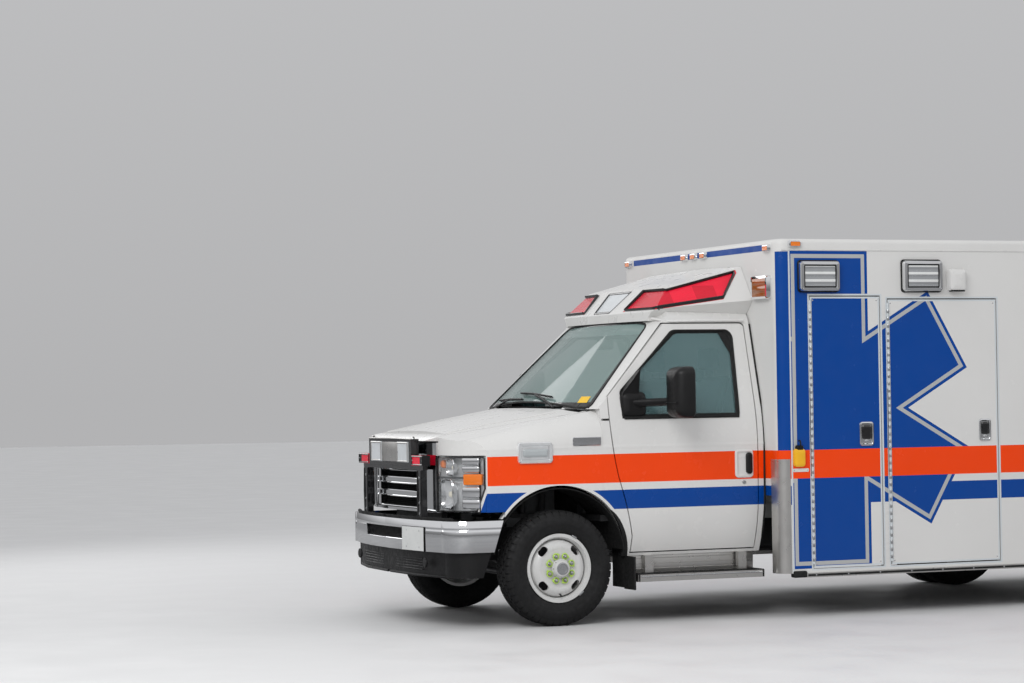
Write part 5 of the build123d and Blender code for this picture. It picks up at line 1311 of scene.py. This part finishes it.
def marker_bezel(piece, x, y, sign):
    """The frame of a small marker lamp at the top of an end wall."""
    bezel(piece, x - 38, x + 38, 2416, 2450, y, 18, 4, "Y", sign, 8)


# Middle, half length and top of each scene lamp
SCENE_LAMPS = ((1780, 140, 2336), (2563, 142, 2343), (REAR_AXLE + 1137, 142, 2343))


def build_side_lamps(side, label):
    """Bezels, gaskets, screws and bars of the scene lamps, a marker's frame and a white sounder."""
    piece = Piece()
    foot = MODULE_TOP - 342
    for y, half, top in SCENE_LAMPS:
        y0, y1 = y - half, y + half
        bezel(piece, y0, y1, foot, top, SIDE, 36, 24, "X")
        gasket = [(0, -1), (0, 10), (5, 14)]
        piece.mould(y0 - 13, y1 + 13, foot - 13, top + 13, 22, gasket, SIDE, "X", 4, False)
        # Painted shade: a black ring just inside each bezel's lip darkens the recess between bezel and lens
        recess_shade_ring = [(0, 36), (0, 40), (5, 40), (8, 36)]
        piece.mould(y0 + 20, y1 - 20, foot + 20, top - 20, 12, recess_shade_ring, SIDE, "X", 4, False)
        screws = [(SIDE + 42, u, z) for u in (y0 + 12, y1 - 12) for z in (foot + 12, top - 12)]
        piece.studs(screws, 5, 3, "X", 1, 8)
        for k in range(5):
            z = foot + 34 + (top - foot - 68) * k / 4
            piece.pipe([(SIDE + 36, y0 + 26, z), (SIDE + 36, y1 - 26, z)], 2.6, 6, mat=2)
    bezel(piece, 1567, 1643, MODULE_TOP - 52, MODULE_TOP - 18, SIDE, 18, 4, "X", 1, 8)
    piece.mould(2759, 2887, 2144, 2294, 24, [(0, 0), (0, 34), (8, 52), (26, 60), (44, 62)], SIDE, "X", 3)
    for y in range(2772, 2863, 18):
        piece.box(SIDE + 12, SIDE + 54, y, y + 12, 2140, 2150, 2, 2, 4)
    piece.done(f"side_lamp_trim_{label}", "chrome steel lens white black", "chrome_trim", side)


def build_end_lamps(side, label):
    """Frames of the lamps on the front and rear walls, and a tread plate at the tail."""
    ends = Piece()
    bezel(ends, 909, 1125, 2102, 2248, MODULE_FRONT, 30, 18, "Y", -1)
    bezel(ends, 720, 940, 2102, 2272, MODULE_REAR, 30, 18, "Y")
    for z in (900, 1060, 1220):
        bezel(ends, 960, 1100, z, z + 140, MODULE_REAR, 30, 12, "Y", 1, 20)
    for y, sign in ((MODULE_FRONT, -1), (MODULE_REAR, 1)):
        for x in (1090, 150):
            marker_bezel(ends, x, y, sign)
    ends.mould(632, 1160, 560, 840, 12, [(0, -1), (0, 2), (2, 3)], MODULE_REAR, "Y", 1)
    ends.done(f"end_lamp_trim_{label}", "chrome tread", "chrome_trim", side)


def build_skirt(side, label):
    """Rub rails with their caps and screws, the rear arch's flare and the roof's lip."""
    skirt = Piece()
    skirt.box(SIDE - 40, SIDE + 16, 1562, 1660, 262, 306, 10, 3)
    for y0, y1 in ((1664, REAR_AXLE - 440), (REAR_AXLE + 440, MODULE_REAR - 12)):
        skirt.box(SIDE + 12, SIDE + 17, y0, y1, 269, 283, 2)
        screws = [(SIDE + 14, y0 + 60 + 240 * k, 276) for k in range(int((y1 - y0) / 240))]
        skirt.studs(screws, 6, 5, "X", 1, 8)
    hub = (0, REAR_AXLE, WHEEL_R)
    arch = ((-12, 422), (5, 423), (8, 428), (8, 462), (5, 470), (-1, 471))
    skirt.lathe([(SIDE + out, r) for out, r in arch], hub, "X", 56, 2, 200 / 360, math.radians(-10))
    skirt.studs([polar(hub, 446, math.radians(a), SIDE + 7) for a in range(-90, 91, 20)], 5, 3, "X", 1, 8)
    lip = (SIDE + 2, MODULE_FRONT + 30, ROOF_BAND_Z - 2), (SIDE + 2, MODULE_REAR - 30, ROOF_BAND_Z - 2)
    skirt.pipe(even(lip, 300, False), 4, mat=3)
    skirt.done(f"skirt_trim_{label}", "rubber steel plate white", "step_aluminium", side)


def build_tail():
    """Middle markers, the blank rear plate with its lamps, and the rear step's tread and caps."""
    middle = Piece()
    for y, sign in ((MODULE_FRONT, -1), (MODULE_REAR, 1)):
        marker_bezel(middle, 0, y, sign)
    middle.mould(-152, 152, 600, 752, 10, [(0, -1), (0, 4), (2, 5)], MODULE_REAR, "Y", 1)
    middle.studs([(x, MODULE_REAR + 5, z) for x in (-120, 120) for z in (616, 736)], 6, 4, "Y", 0, 10)
    for x in (-80, 80):
        middle.mould(x - 26, x + 26, 768, 796, 8, [(0, -1), (0, 16), (4, 22)], MODULE_REAR, "Y", 2)
    middle.mould(-1096, 1096, 5716, 5910, 14, [(0, -2), (0, 3), (3, 4)], 530, "Z", 3)
    for y in range(5724, 5886, 23):
        middle.box(-1080, 1080, y, y + 6, 533, 538, 1.5, 1, 4)
    for x in (-1104, 1104):
        middle.box(x - 8, x + 8, 5714, 5912, 468, 536, 6, 3, 4)
    middle.done("tail_trim", "chrome blank_plate gloss_black tread rubber", "step_aluminium")


def build_inlet():
    """The power inlet's cover, its hinge and spring, and a blank strip under it."""
    inlet = Piece()
    inlet.mould(1574, 1656, 988, 1109, 22, [(0, -1), (0, 16), (4, 24), (14, 28), (26, 29)], SIDE)
    inlet.mould(1590, 1640, 1096, 1130, 10, [(0, -1), (0, 20), (5, 27)], SIDE, "X", 1)
    spring = ((4, 1160), (24, 1162), (30, 1140), (28, 1112))
    inlet.pipe([(SIDE + out, 1615, z) for out, z in spring], 5, mat=1)
    inlet.mould(1570, 1688, 955, 978, 8, [(0, -1), (0, 3), (2, 4)], SIDE, "X", 3)
    inlet.studs([(SIDE + 3, y, 966) for y in (1580, 1678)], 4, 3, "X", 2, 8)
    inlet.done("power_inlet", "cover black steel white", "trim_black")


# Cab inside


def pad_mesh(name, x0, x1, y0, y1, z0, z1, turn=0.0, pivot=(0, 0), waist=0.0):
    """A closed, slightly small start for a cushion, with a bolstered outline."""
    piece = Piece()
    piece.box(x0, x1, y0, y1, z0, z1, min(x1 - x0, y1 - y0, z1 - z0) * 0.3, 3)
    middle = (x0 + x1) / 2
    for vert in piece.bm.verts:
        share = (vert.co.z - z0) / (z1 - z0)
        vert.co.x = middle + (vert.co.x - middle) * (1 - waist * share)
        if turn:
            y, z = vert.co.y - pivot[0], vert.co.z - pivot[1]
            vert.co.y = pivot[0] + y * math.cos(turn) + z * math.sin(turn)
            vert.co.z = pivot[1] - y * math.sin(turn) + z * math.cos(turn)
    return piece.done(name, "seat", "seat_fabric", 1, 60)


def inflate(thing, cap):
    """Lets cloth under pressure swell a closed mesh, no further than cap."""
    bpy.context.view_layer.objects.active = thing
    remesh = thing.modifiers.new("remesh", "REMESH")
    remesh.mode, remesh.voxel_size = "VOXEL", 0.008
    bpy.ops.object.modifier_apply(modifier="remesh")
    start = [v.co.copy() for v in thing.data.vertices]
    cover = thing.modifiers.new("cloth", "CLOTH")
    cover.settings.use_pressure = True
    cover.settings.uniform_pressure_force = 4
    cover.settings.effector_weights.gravity = 0
    for number in range(1, 21):
        bpy.context.scene.frame_set(number)
    bpy.ops.object.modifier_apply(modifier="cloth")
    bpy.context.scene.frame_set(1)
    for vert, old in zip(thing.data.vertices, start):
        move = vert.co - old
        if move.length > cap:
            vert.co = old + move.normalized() * cap
    thing.data.polygons.foreach_set("use_smooth", [True] * len(thing.data.polygons))
    finer = thing.modifiers.new("finer", "SUBSURF")
    finer.levels = finer.render_levels = 1
    bpy.ops.object.modifier_apply(modifier="finer")


def seam_on(piece, thing, points, aim):
    """A stitched line laid on a pad: each point is cast onto it along aim."""
    hits = [thing.ray_cast(TO_FRAME @ Vector(point), Vector(aim)) for point in points]
    run = [TO_MM @ place for hit, place, _, _ in hits if hit]
    if len(run) > 2:
        piece.pipe(run, 3, 6)


def build_seat_pads():
    """Padded cushions, backs and head rests with their seams, for both seats."""
    lean, x = math.atan2(165, 560), 430
    cushion = pad_mesh("seat_cushion_left", x - 232, x + 232, 735, 1190, 918, 1024)
    back = pad_mesh("seat_back_left", x - 226, x + 226, 1148, 1222, 1052, 1608, lean, (1190, 1052), 0.14)
    head = pad_mesh("seat_head_left", x - 118, x + 118, 1326, 1390, 1640, 1788)
    for thing, cap in ((cushion, 0.024), (back, 0.024), (head, 0.022)):
        inflate(thing, cap)
    bpy.context.view_layer.update()
    seams, down, ahead = Piece(), (0, 0, -1), (0, 1, 0)
    for dx in (-130, 130):
        seam_on(seams, cushion, [(x + dx, y, 1300) for y in range(745, 1190, 12)], down)
        seam_on(seams, back, [(x + dx, 700, z) for z in range(1070, 1600, 12)], ahead)
    across = range(x - 130, x + 131, 12)
    for y in (900, 1060):
        seam_on(seams, cushion, [(u, y, 1300) for u in across], down)
    for z in (1240, 1400):
        seam_on(seams, back, [(u, 700, z) for u in across], ahead)
    seam_on(seams, head, [(u, 1000, 1714) for u in range(x - 112, x + 113, 12)], ahead)
    stitched = seams.done("seat_seams_left", "vinyl", "seat_fabric", 1, 60, stands_for=["cab_seats"])
    for thing in (cushion, back, head, stitched):
        twin = thing.copy()
        twin.data = thing.data.copy()
        twin.name = thing.name.replace("left", "right")
        bpy.context.scene.collection.objects.link(twin)
        twin.data.transform(Matrix.Translation((-2 * x / 1000, 0, 0)))
        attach(twin, "root")
        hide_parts("cab_seats")
        if thing is not stitched:
            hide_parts("cab_seats")


def build_seat_bases():
    """Moulded bases on runners, arm-side covers, head rest posts and back shells."""
    for side, label in SIDES:
        x, base = side * 430, Piece()
        base.mould(x - 190, x + 190, 760, 1180, 30, [(0, 0), (0, 150), (6, 180), (-12, 205)], 700, "Z")
        for reach, cover_x in ((-200, x - 242), (200, x + 212)):
            base.pipe([(x + reach, 770, 712), (x + reach, 1170, 712)], 9, mat=1)
            base.mould(930, 1180, 866, 1004, 30, [(0, 0), (0, 24), (6, 30)], cover_x)
        for reach in (-55, 55):
            base.pipe([(x + reach, 1362, 1585), (x + reach, 1360, 1660)], 7, 10, mat=1)
        base.slab([(1245, 1060), (1262, 1060), (1418, 1580), (1402, 1592)], "X", x - 205, x + 205, 6)
        base.done(f"seat_base_{label}", "dark_trim steel", "cab_trim", stands_for=["cab_seats"])


def build_dashboard():
    """Instrument hood, dials, vents, centre stack, glove box and the pad along the windscreen."""
    piece = Piece()
    piece.mould(240, 620, 1180, 1356, 50, [(0, 0), (0, 26), (10, 34), (22, 30), (24, 4)], 588, "Y")
    for x, r in ((350, 48), (500, 48), (425, 26), (290, 26), (570, 26)):
        piece.lathe([(596, r), (606, r), (608, r - 3), (604, r - 4), (604, 0)], (x, 0, 1262), "Y", 28, 2)
        piece.box(x - 1.5, x + 1.5, 604, 607, 1262, 1262 + r * 0.8, 0.5, 1, 3)
    for x in (-780, -240, 150, 780):
        piece.mould(x - 70, x + 70, 1226, 1300, 16, [(0, 0), (0, 12), (4, 16), (9, 14), (10, 2)], 586, "Y", 1)
        for z in range(1238, 1287, 12):
            piece.box(x - 58, x + 58, 588, 600, z, z + 3, 1, 1, 1)
    piece.mould(-150, 190, 980, 1200, 30, [(0, 0), (0, 22), (8, 30), (16, 31)], 560, "Y", 1)
    piece.mould(-120, 160, 1110, 1180, 8, [(0, 31), (0, 36), (3, 38)], 560, "Y", 2)
    for x in (-90, 20, 130):
        piece.lathe([(590, 24), (602, 22), (614, 19), (616, 0)], (x, 0, 1040), "Y", 24)
    piece.mould(-780, -260, 1010, 1180, 26, [(0, 0), (0, 14), (5, 18), (12, 19)], 566, "Y")
    piece.box(-560, -480, 584, 592, 1150, 1166, 3, 2, 1)
    piece.mould(-866, 866, 345, 560, 40, [(0, 0), (6, 6), (30, 9)], 1370, "Z")
    for x in (-600, -200, 200, 600):
        piece.box(x - 120, x + 120, 352, 364, 1376, 1382, 2, 2, 1)
    piece.done("dashboard_fittings", "trim dark_trim gloss_black blank_plate", "cab_trim")


def build_steering_wheel():
    """Rim, hub, three spokes and thumb pads, then the column with its stalk."""
    wheel = Piece()
    wheel.pipe([(190 * math.cos(a), 190 * math.sin(a), 0) for a in turns(56)], 15, 10, True)
    wheel.mould(-84, 84, -60, 62, 34, [(10, -6), (0, 6), (0, 16), (10, 30), (34, 36)], 0, "Z")
    spoke = ((60, 0, 12), (130, 4, 4), (184, 6, 0))
    for points in (sided(-1, *spoke), spoke, ((0, -40, 12), (0, -110, 4), (0, -184, 0))):
        wheel.pipe(points, 20, 10, flat=0.4)
    for x in (-118, 118):
        wheel.mould(x - 20, x + 20, -12, 20, 8, [(0, 8), (0, 14), (4, 17)], 0, "Z", 1)
    lean = Matrix.Translation((430, 690, 1230)) @ Matrix.Rotation(math.radians(-35), 4, "X")
    bmesh.ops.transform(wheel.bm, matrix=lean, verts=wheel.bm.verts)
    wheel.pipe([(430, 676, 1212), (430, 600, 1108)], 44, 16, mat=1)
    wheel.pipe([(392, 640, 1180), (300, 650, 1186), (262, 650, 1192)], 7, mat=1)
    wheel.done("steering_wheel_trim", "dark_trim black", "cab_trim", 1, 45, stands_for=["steering_wheel"])


def build_cab_fittings():
    """Pedals, inner mirror, visors, floor mat, roof lining and roof lamp."""
    piece = Piece()
    for x, w in ((330, 30), (470, 24)):
        lean = Matrix.Rotation(math.radians(-25), 3, "X")
        piece.box(x - w, x + w, 470, 482, 780, 860, 5, 2, 1, lean)
        piece.pipe([(x, 470, 850), (x, 420, 980)], 7, mat=2)
    piece.mould(-118, 118, 1790, 1862, 22, [(0, 0), (0, 16), (5, 22)], 770, "Y", 1)
    piece.mould(-108, 108, 1798, 1854, 18, [(0, 22), (0, 24)], 770, "Y", 3)
    piece.pipe([(0, 772, 1862), (0, 762, 1900)], 7, mat=1)
    for x in (-390, 390):
        piece.box(x - 190, x + 190, 852, 1010, 1930, 1946, 7, 3)
        piece.mould(x - 60, x + 60, 880, 970, 6, [(0, 0), (0, -3), (2, -4)], 1930, "Z", 3)
    piece.mould(-640, 640, 620, 1400, 60, [(0, 0), (0, 8), (20, 12)], 701, "Z", 4)
    piece.mould(-600, 600, 900, 1420, 80, [(0, 0), (10, -8), (60, -14)], 1984, "Z")
    piece.box(-60, 60, 1060, 1130, 1962, 1976, 6, 3, 2)
    piece.done("cab_inside_fittings", "trim dark_trim steel mirror floor", "cab_trim")


def build_patient_room():
    """Wall lining, grab rails, ceiling lamps, floor sheet and cupboard fronts behind the panes."""
    piece = Piece()
    low_z, high_z = size_mm("module_floor")[1].z + 2, ROOF_BAND_Z - 10
    for side in (-1, 1):
        x = side * (SIDE - 64)
        for k in range(4):
            y = MODULE_FRONT + 120 + 1000 * k
            piece.box(x - 3, x + 3, y, y + 960, 1300, high_z - 40, 2)
            piece.studs([(x - side * 3, y + 40, z) for z in (1340, 1800, 2300)], 6, -side * 4, "X", 1, 8)
        y0, y1 = MODULE_FRONT + 300, MODULE_REAR - 400
        rail = ((y0, 8), (y0 + 30, 74), (y1 - 30, 74), (y1, 8))
        piece.pipe([(side * 380, y, high_z - drop) for y, drop in rail], 15, 12, mat=1)
    for k in range(4):
        y = MODULE_FRONT + 600 + 900 * k
        piece.mould(-190, 190, y - 60, y + 60, 20, [(0, 0), (0, -14), (8, -20)], high_z + 2, "Z", 2)
    sheet = [(0, 0), (0, 4), (4, 5)]
    piece.mould(-560, 560, MODULE_FRONT + 80, MODULE_REAR - 90, 40, sheet, low_z, "Z", 3)
    for k in range(3):
        for x0, x1 in ((-1080 + 270 * k, -830 + 270 * k), (480 + 200 * k, 660 + 200 * k)):
            piece.mould(x0, x1, 1720, 2300, 12, [(0, 0), (0, 8), (4, 12)], MODULE_FRONT + 60, "Y")
    piece.done("patient_room_lining", "inside steel bulb floor", "cab_trim")


# Underneath


def build_springs():
    """Front coils between their seats; rear leaf packs with clamps, eyes, bolts and a plate."""
    piece = Piece()
    wire, coils, steps, low_z, high_z = 8, 5, 16, 386, 552
    for side in (-1, 1):
        centre = (side * 520, 0, 0)
        points = []
        for k in range(coils * steps + 1):
            a = math.tau * k / steps
            z = low_z + (high_z - low_z) * k / (coils * steps)
            points.append((centre[0] + 50 * math.cos(a), 50 * math.sin(a), z))
        piece.pipe(points, wire)
        for foot, lip, top in ((380, 388, 390), (560, 551, 549)):
            piece.lathe([(foot, 0.1), (foot, 60), (lip, 61), (top, 40), (top, 0.1)], centre, "Z", 28)
        x0, x1 = side * 480 - 37, side * 480 + 37
        reach, leaf_thick = 590, 7.6
        for leaf in range(7):
            half = reach - 62 * leaf
            rows = []
            for k in range(17):
                u = -half + 2 * half * k / 16
                y, z = REAR_AXLE + u, 472 - 8.55 * leaf + 44 * (u / reach) ** 2
                rows.append([(x0, y, z), (x1, y, z), (x1, y, z - leaf_thick), (x0, y, z - leaf_thick)])
            piece.sheet(rows, closed=True)
        for y in (REAR_AXLE - 300, REAR_AXLE + 300):
            piece.box(x0 - 5, x1 + 5, y - 16, y + 16, 436, 488, 2, 2, 1)
        for y in (REAR_AXLE - reach, REAR_AXLE + reach):
            piece.lathe([(x0, 10), (x0, 20), (x1, 20), (x1, 10)], (0, y, 514), "X", 20)
        for y in (REAR_AXLE - 44, REAR_AXLE + 44):
            for x in (x0 - 8, x1 + 8):
                piece.pipe([(x, y, 478), (x, y, 300)], 7, mat=1)
        piece.box(x0 - 14, x1 + 14, REAR_AXLE - 60, REAR_AXLE + 60, 296, 310, 4, 2, 1)
    piece.done("spring_packs", "spring steel", "spring_steel", stands_for=["springs"])


def build_exhaust(piece):
    """Down pipe, silencer and tail pipe, with a clamp and a hanger at four places."""
    x = -262
    piece.pipe([(-240, 250, 520), (-250, 420, 470), (x, 700, 400), (x, 1050, 380), (x, 1180, 380)], 32, 14)
    piece.lathe([(1180, 32), (1205, 84), (1780, 84), (1805, 32)], (x, 0, 380), "Y", 28)
    piece.pipe([(x, 1800, 380), (x, 2700, 380), (-300, 3060, 400), (-320, 3180, 400)], 30, 14)
    on_silencer, on_pipe = (88, 380, 20), (40, 384, 16)
    for y, (radius, z, steps) in ((1220, on_silencer), (1765, on_silencer), (2500, on_pipe), (3000, on_pipe)):
        ring = [(x + radius * math.cos(a), y, z + radius * math.sin(a)) for a in turns(steps)]
        piece.pipe(ring, 5, 8, True, 1)
        piece.pipe([(-300, y, 430), (-340, y, 470)], 6, mat=1)


def build_underside():
    """Exhaust, dampers, frame bolts, tank straps, axle cover, shaft joints and steering rods."""
    piece = Piece()
    build_exhaust(piece)
    for side in (-1, 1):
        piece.pipe(sided(side, (560, REAR_AXLE - 150, 300), (470, REAR_AXLE - 210, 560)), 24, 12, mat=2)
        piece.pipe(sided(side, (548, REAR_AXLE - 158, 336), (510, REAR_AXLE - 184, 446)), 31, 14, mat=2)
        piece.pipe(sided(side, (446, 560, 470), (500, 300, 380), (560, 60, 316)), 22, 10, mat=3)
        for y in range(-500, 5201, 300):
            if abs(y - REAR_AXLE) > 500:
                piece.studs([(side * 433, y, z) for z in (470, 590)], 9, side * 8, "X", 1)
    low, high = size_mm("fuel_tank")
    for y in (low.y + 180, high.y - 180):
        for x in (-high.x, high.x):
            piece.box(x - 4, x + 4, y - 22, y + 22, low.z - 3, high.z - 4, 2, 2, 1)
        piece.box(low.x - 3, high.x + 3, y - 22, y + 22, low.z - 5, low.z + 2, 2, 2, 1)
    pressed = [(0, 2), (0, -2), (20, -7), (40, -7)]
    piece.mould(low.x + 40, high.x - 40, low.y + 60, high.y - 60, 60, pressed, low.z, "Z", 4)
    cover = ((100, 120), (130, 118), (150, 96), (158, 40), (158, 0))
    piece.lathe([(REAR_AXLE + back, r) for back, r in cover], (0, 0, WHEEL_R), "Y", 32, 3)
    bolts = [(105 * math.sin(a), REAR_AXLE + 129, WHEEL_R + 105 * math.cos(a)) for a in turns(12)]
    piece.studs(bolts, 7, 8, "Y", 1)
    for y in (MODULE_FRONT - 330, REAR_AXLE - 330):
        shaft_z = 372 + (REAR_AXLE - 230 - y) * 0.025
        piece.lathe([(y - 24, 41), (y - 24, 54), (y + 24, 54), (y + 24, 41)], (0, 0, shaft_z), "Y", 20, 3)
    piece.pipe([(-690, -130, 318), (0, -132, 322), (690, -130, 318)], 17, 12, mat=3)
    piece.pipe([(330, -220, 420), (480, -170, 360), (660, -132, 322)], 15, 12, mat=3)
    piece.box(300, 400, -300, -180, 400, 520, 16, 3, 3)
    piece.done("running_gear_fittings", "cast steel spring frame tank", "axle_black")


def build_engine():
    """Intake, ribs, pulleys, sump, air box and exhaust manifolds."""
    engine = Piece()
    engine.mould(-230, 230, -360, 240, 40, [(0, 0), (0, 30), (14, 46), (30, 48)], 1060, "Z")
    for y in range(-330, 187, 86):
        engine.box(-200, 200, y, y + 30, 1104, 1118, 5)
    big = [(-402, 0.1), (-402, 90), (-412, 92), (-440, 92), (-446, 80), (-446, 0.1)]
    engine.lathe(big, (0, 0, 640), "Y", 36, 1)
    for x, z, r in ((-150, 820, 60), (150, 840, 56)):
        pulley = [(-402, 0.1), (-402, r), (-412, r + 2), (-436, r + 2), (-440, r - 10), (-440, 0.1)]
        engine.lathe(pulley, (x, 0, z), "Y", 30, 1)
    engine.mould(-150, 150, -200, 250, 60, [(0, 0), (0, -70), (30, -96), (60, -100)], 500, "Z", 2)
    engine.mould(-200, 200, -250, 180, 50, [(0, 46), (0, 90), (20, 108), (60, 110)], 1060, "Z", 3)
    for side in (-1, 1):
        for k in range(4):
            port = (270, -280 + 150 * k, 860), (300, -280 + 150 * k, 820), (304, -260 + 140 * k, 700)
            engine.pipe(sided(side, *port), 22, 12, mat=2)
        engine.box(side * 310 - 12, side * 310 + 12, -320, 260, 660, 704, 10, 3, 2)
    engine.done("engine_fittings", "engine steel cast black", "engine_grey")


build_tyres()
build_wheel_details()
build_bumper()
build_air_dam()
build_grille()
build_guard()
build_headlamps()
build_cowl()
build_hood_details()
build_door_trim()
build_screen_trim()
build_cab_trim()
build_fairing_trim()
build_side_doors()
build_rear_doors()
for side, label in SIDES:
    build_side_lamps(side, label)
    build_end_lamps(side, label)
    build_skirt(side, label)
build_tail()
build_inlet()
build_seat_pads()
build_seat_bases()
build_dashboard()
build_steering_wheel()
build_cab_fittings()
build_patient_room()
build_springs()
build_underside()
build_engine()


# Stage, lamps and camera


WORLD_STRENGTH, KEY_POWER = 0.75, 420
CAMERA_PLACE, CAMERA_LENS = (16.810, -9.2955, 1.498), 94.10
CAMERA_AZIMUTH, CAMERA_ELEVATION, CAMERA_ROLL = (math.radians(a) for a in (67.8335, -1.1155, -0.8652))


def lay_floor():
    """A pale floor that meets the pale surroundings far away."""
    mesh = bmesh.new()
    bmesh.ops.create_circle(mesh, cap_ends=True, segments=96, radius=70)
    data = bpy.data.meshes.new("floor")
    mesh.to_mesh(data)
    mesh.free()
    floor = bpy.data.objects.new("floor", data)
    bpy.context.scene.collection.objects.link(floor)
    shade = Shade("studio_floor")
    seen_in_shine = shade.add("ShaderNodeLightPath").outputs["Is Glossy Ray"]
    colour = shade.blend(seen_in_shine, (0.70, 0.70, 0.70), (0.30, 0.30, 0.305))
    data.materials.append(shade.end(colour, 0.6, 0, 0, 0.01, 0.3))


def area_lamp(name, place, target, size, power):
    data = bpy.data.lights.new(name, "AREA")
    data.shape = "RECTANGLE"
    data.size, data.size_y = size
    data.energy = power
    lamp = bpy.data.objects.new(name, data)
    lamp.location = place
    lamp.rotation_euler = (Vector(target) - Vector(place)).to_track_quat("-Z", "Y").to_euler()
    bpy.context.scene.collection.objects.link(lamp)


def light():
    """A pale world, brighter overhead, with its own tones in reflections, and three large soft lamps."""
    world = bpy.data.worlds.new("studio")
    bpy.context.scene.world = world
    world.use_nodes = True
    tree = world.node_tree
    add, link = tree.nodes.new, tree.links.new
    coord, split, mix = add("ShaderNodeTexCoord"), add("ShaderNodeSeparateXYZ"), add("ShaderNodeMix")
    link(coord.outputs["Generated"], split.inputs[0])
    mix.data_type = "RGBA"
    inputs = [s for s in mix.inputs if s.type == "RGBA"]
    direct = ((0.0, (0.60, 0.60, 0.61)), (0.7, (0.95, 0.96, 0.98)))
    shine = [(position, (value, value, value * 1.02))
             for position, value in ((0.0, 0.22), (0.06, 0.40), (0.16, 0.90), (1.0, 0.95))]
    for stops, target in ((direct, inputs[0]), (shine, inputs[1])):
        ramp = add("ShaderNodeValToRGB")
        link(split.outputs["Z"], ramp.inputs[0])
        elements = ramp.color_ramp.elements
        for position, colour in stops[1:-1]:
            elements.new(position).color = (*colour, 1)
        for stop, (position, colour) in ((elements[0], stops[0]), (elements[-1], stops[-1])):
            stop.position, stop.color = position, (*colour, 1)
        link(ramp.outputs[0], target)
    link(add("ShaderNodeLightPath").outputs["Is Glossy Ray"], mix.inputs["Factor"])
    back = tree.nodes["Background"]
    link([s for s in mix.outputs if s.type == "RGBA"][0], back.inputs["Color"])
    back.inputs["Strength"].default_value = WORLD_STRENGTH
    area_lamp("key", (7.5, -7.5, 6.5), (0, -0.8, 1.2), (5, 4), KEY_POWER)
    area_lamp("fill", (-8, -5, 5), (0, 0, 1.2), (6, 4), KEY_POWER * 0.35)
    area_lamp("back", (3, 9, 6), (0, 1, 1.2), (6, 4), KEY_POWER * 0.35)


def set_camera():
    """The photograph's view."""
    az, el, roll = CAMERA_AZIMUTH, CAMERA_ELEVATION, CAMERA_ROLL
    back = Vector((math.sin(az) * math.cos(el), -math.cos(az) * math.cos(el), math.sin(el)))
    right = (-back).cross(Vector((0, 0, 1))).normalized()
    up = right.cross(-back)
    turned = right * math.cos(roll) + up * math.sin(roll)
    raised = up * math.cos(roll) - right * math.sin(roll)
    data = bpy.data.cameras.new("photo_camera")
    data.lens, data.sensor_width, data.sensor_fit = CAMERA_LENS, 36, "HORIZONTAL"
    data.clip_end = 300
    camera = bpy.data.objects.new("photo_camera", data)
    facing = Matrix((turned, raised, back)).transposed().to_4x4()
    camera.matrix_world = Matrix.Translation(CAMERA_PLACE) @ facing
    bpy.context.scene.collection.objects.link(camera)
    bpy.context.scene.camera = camera


lay_floor()
light()
set_camera()
bpy.context.scene.view_settings.view_transform = "Standard"
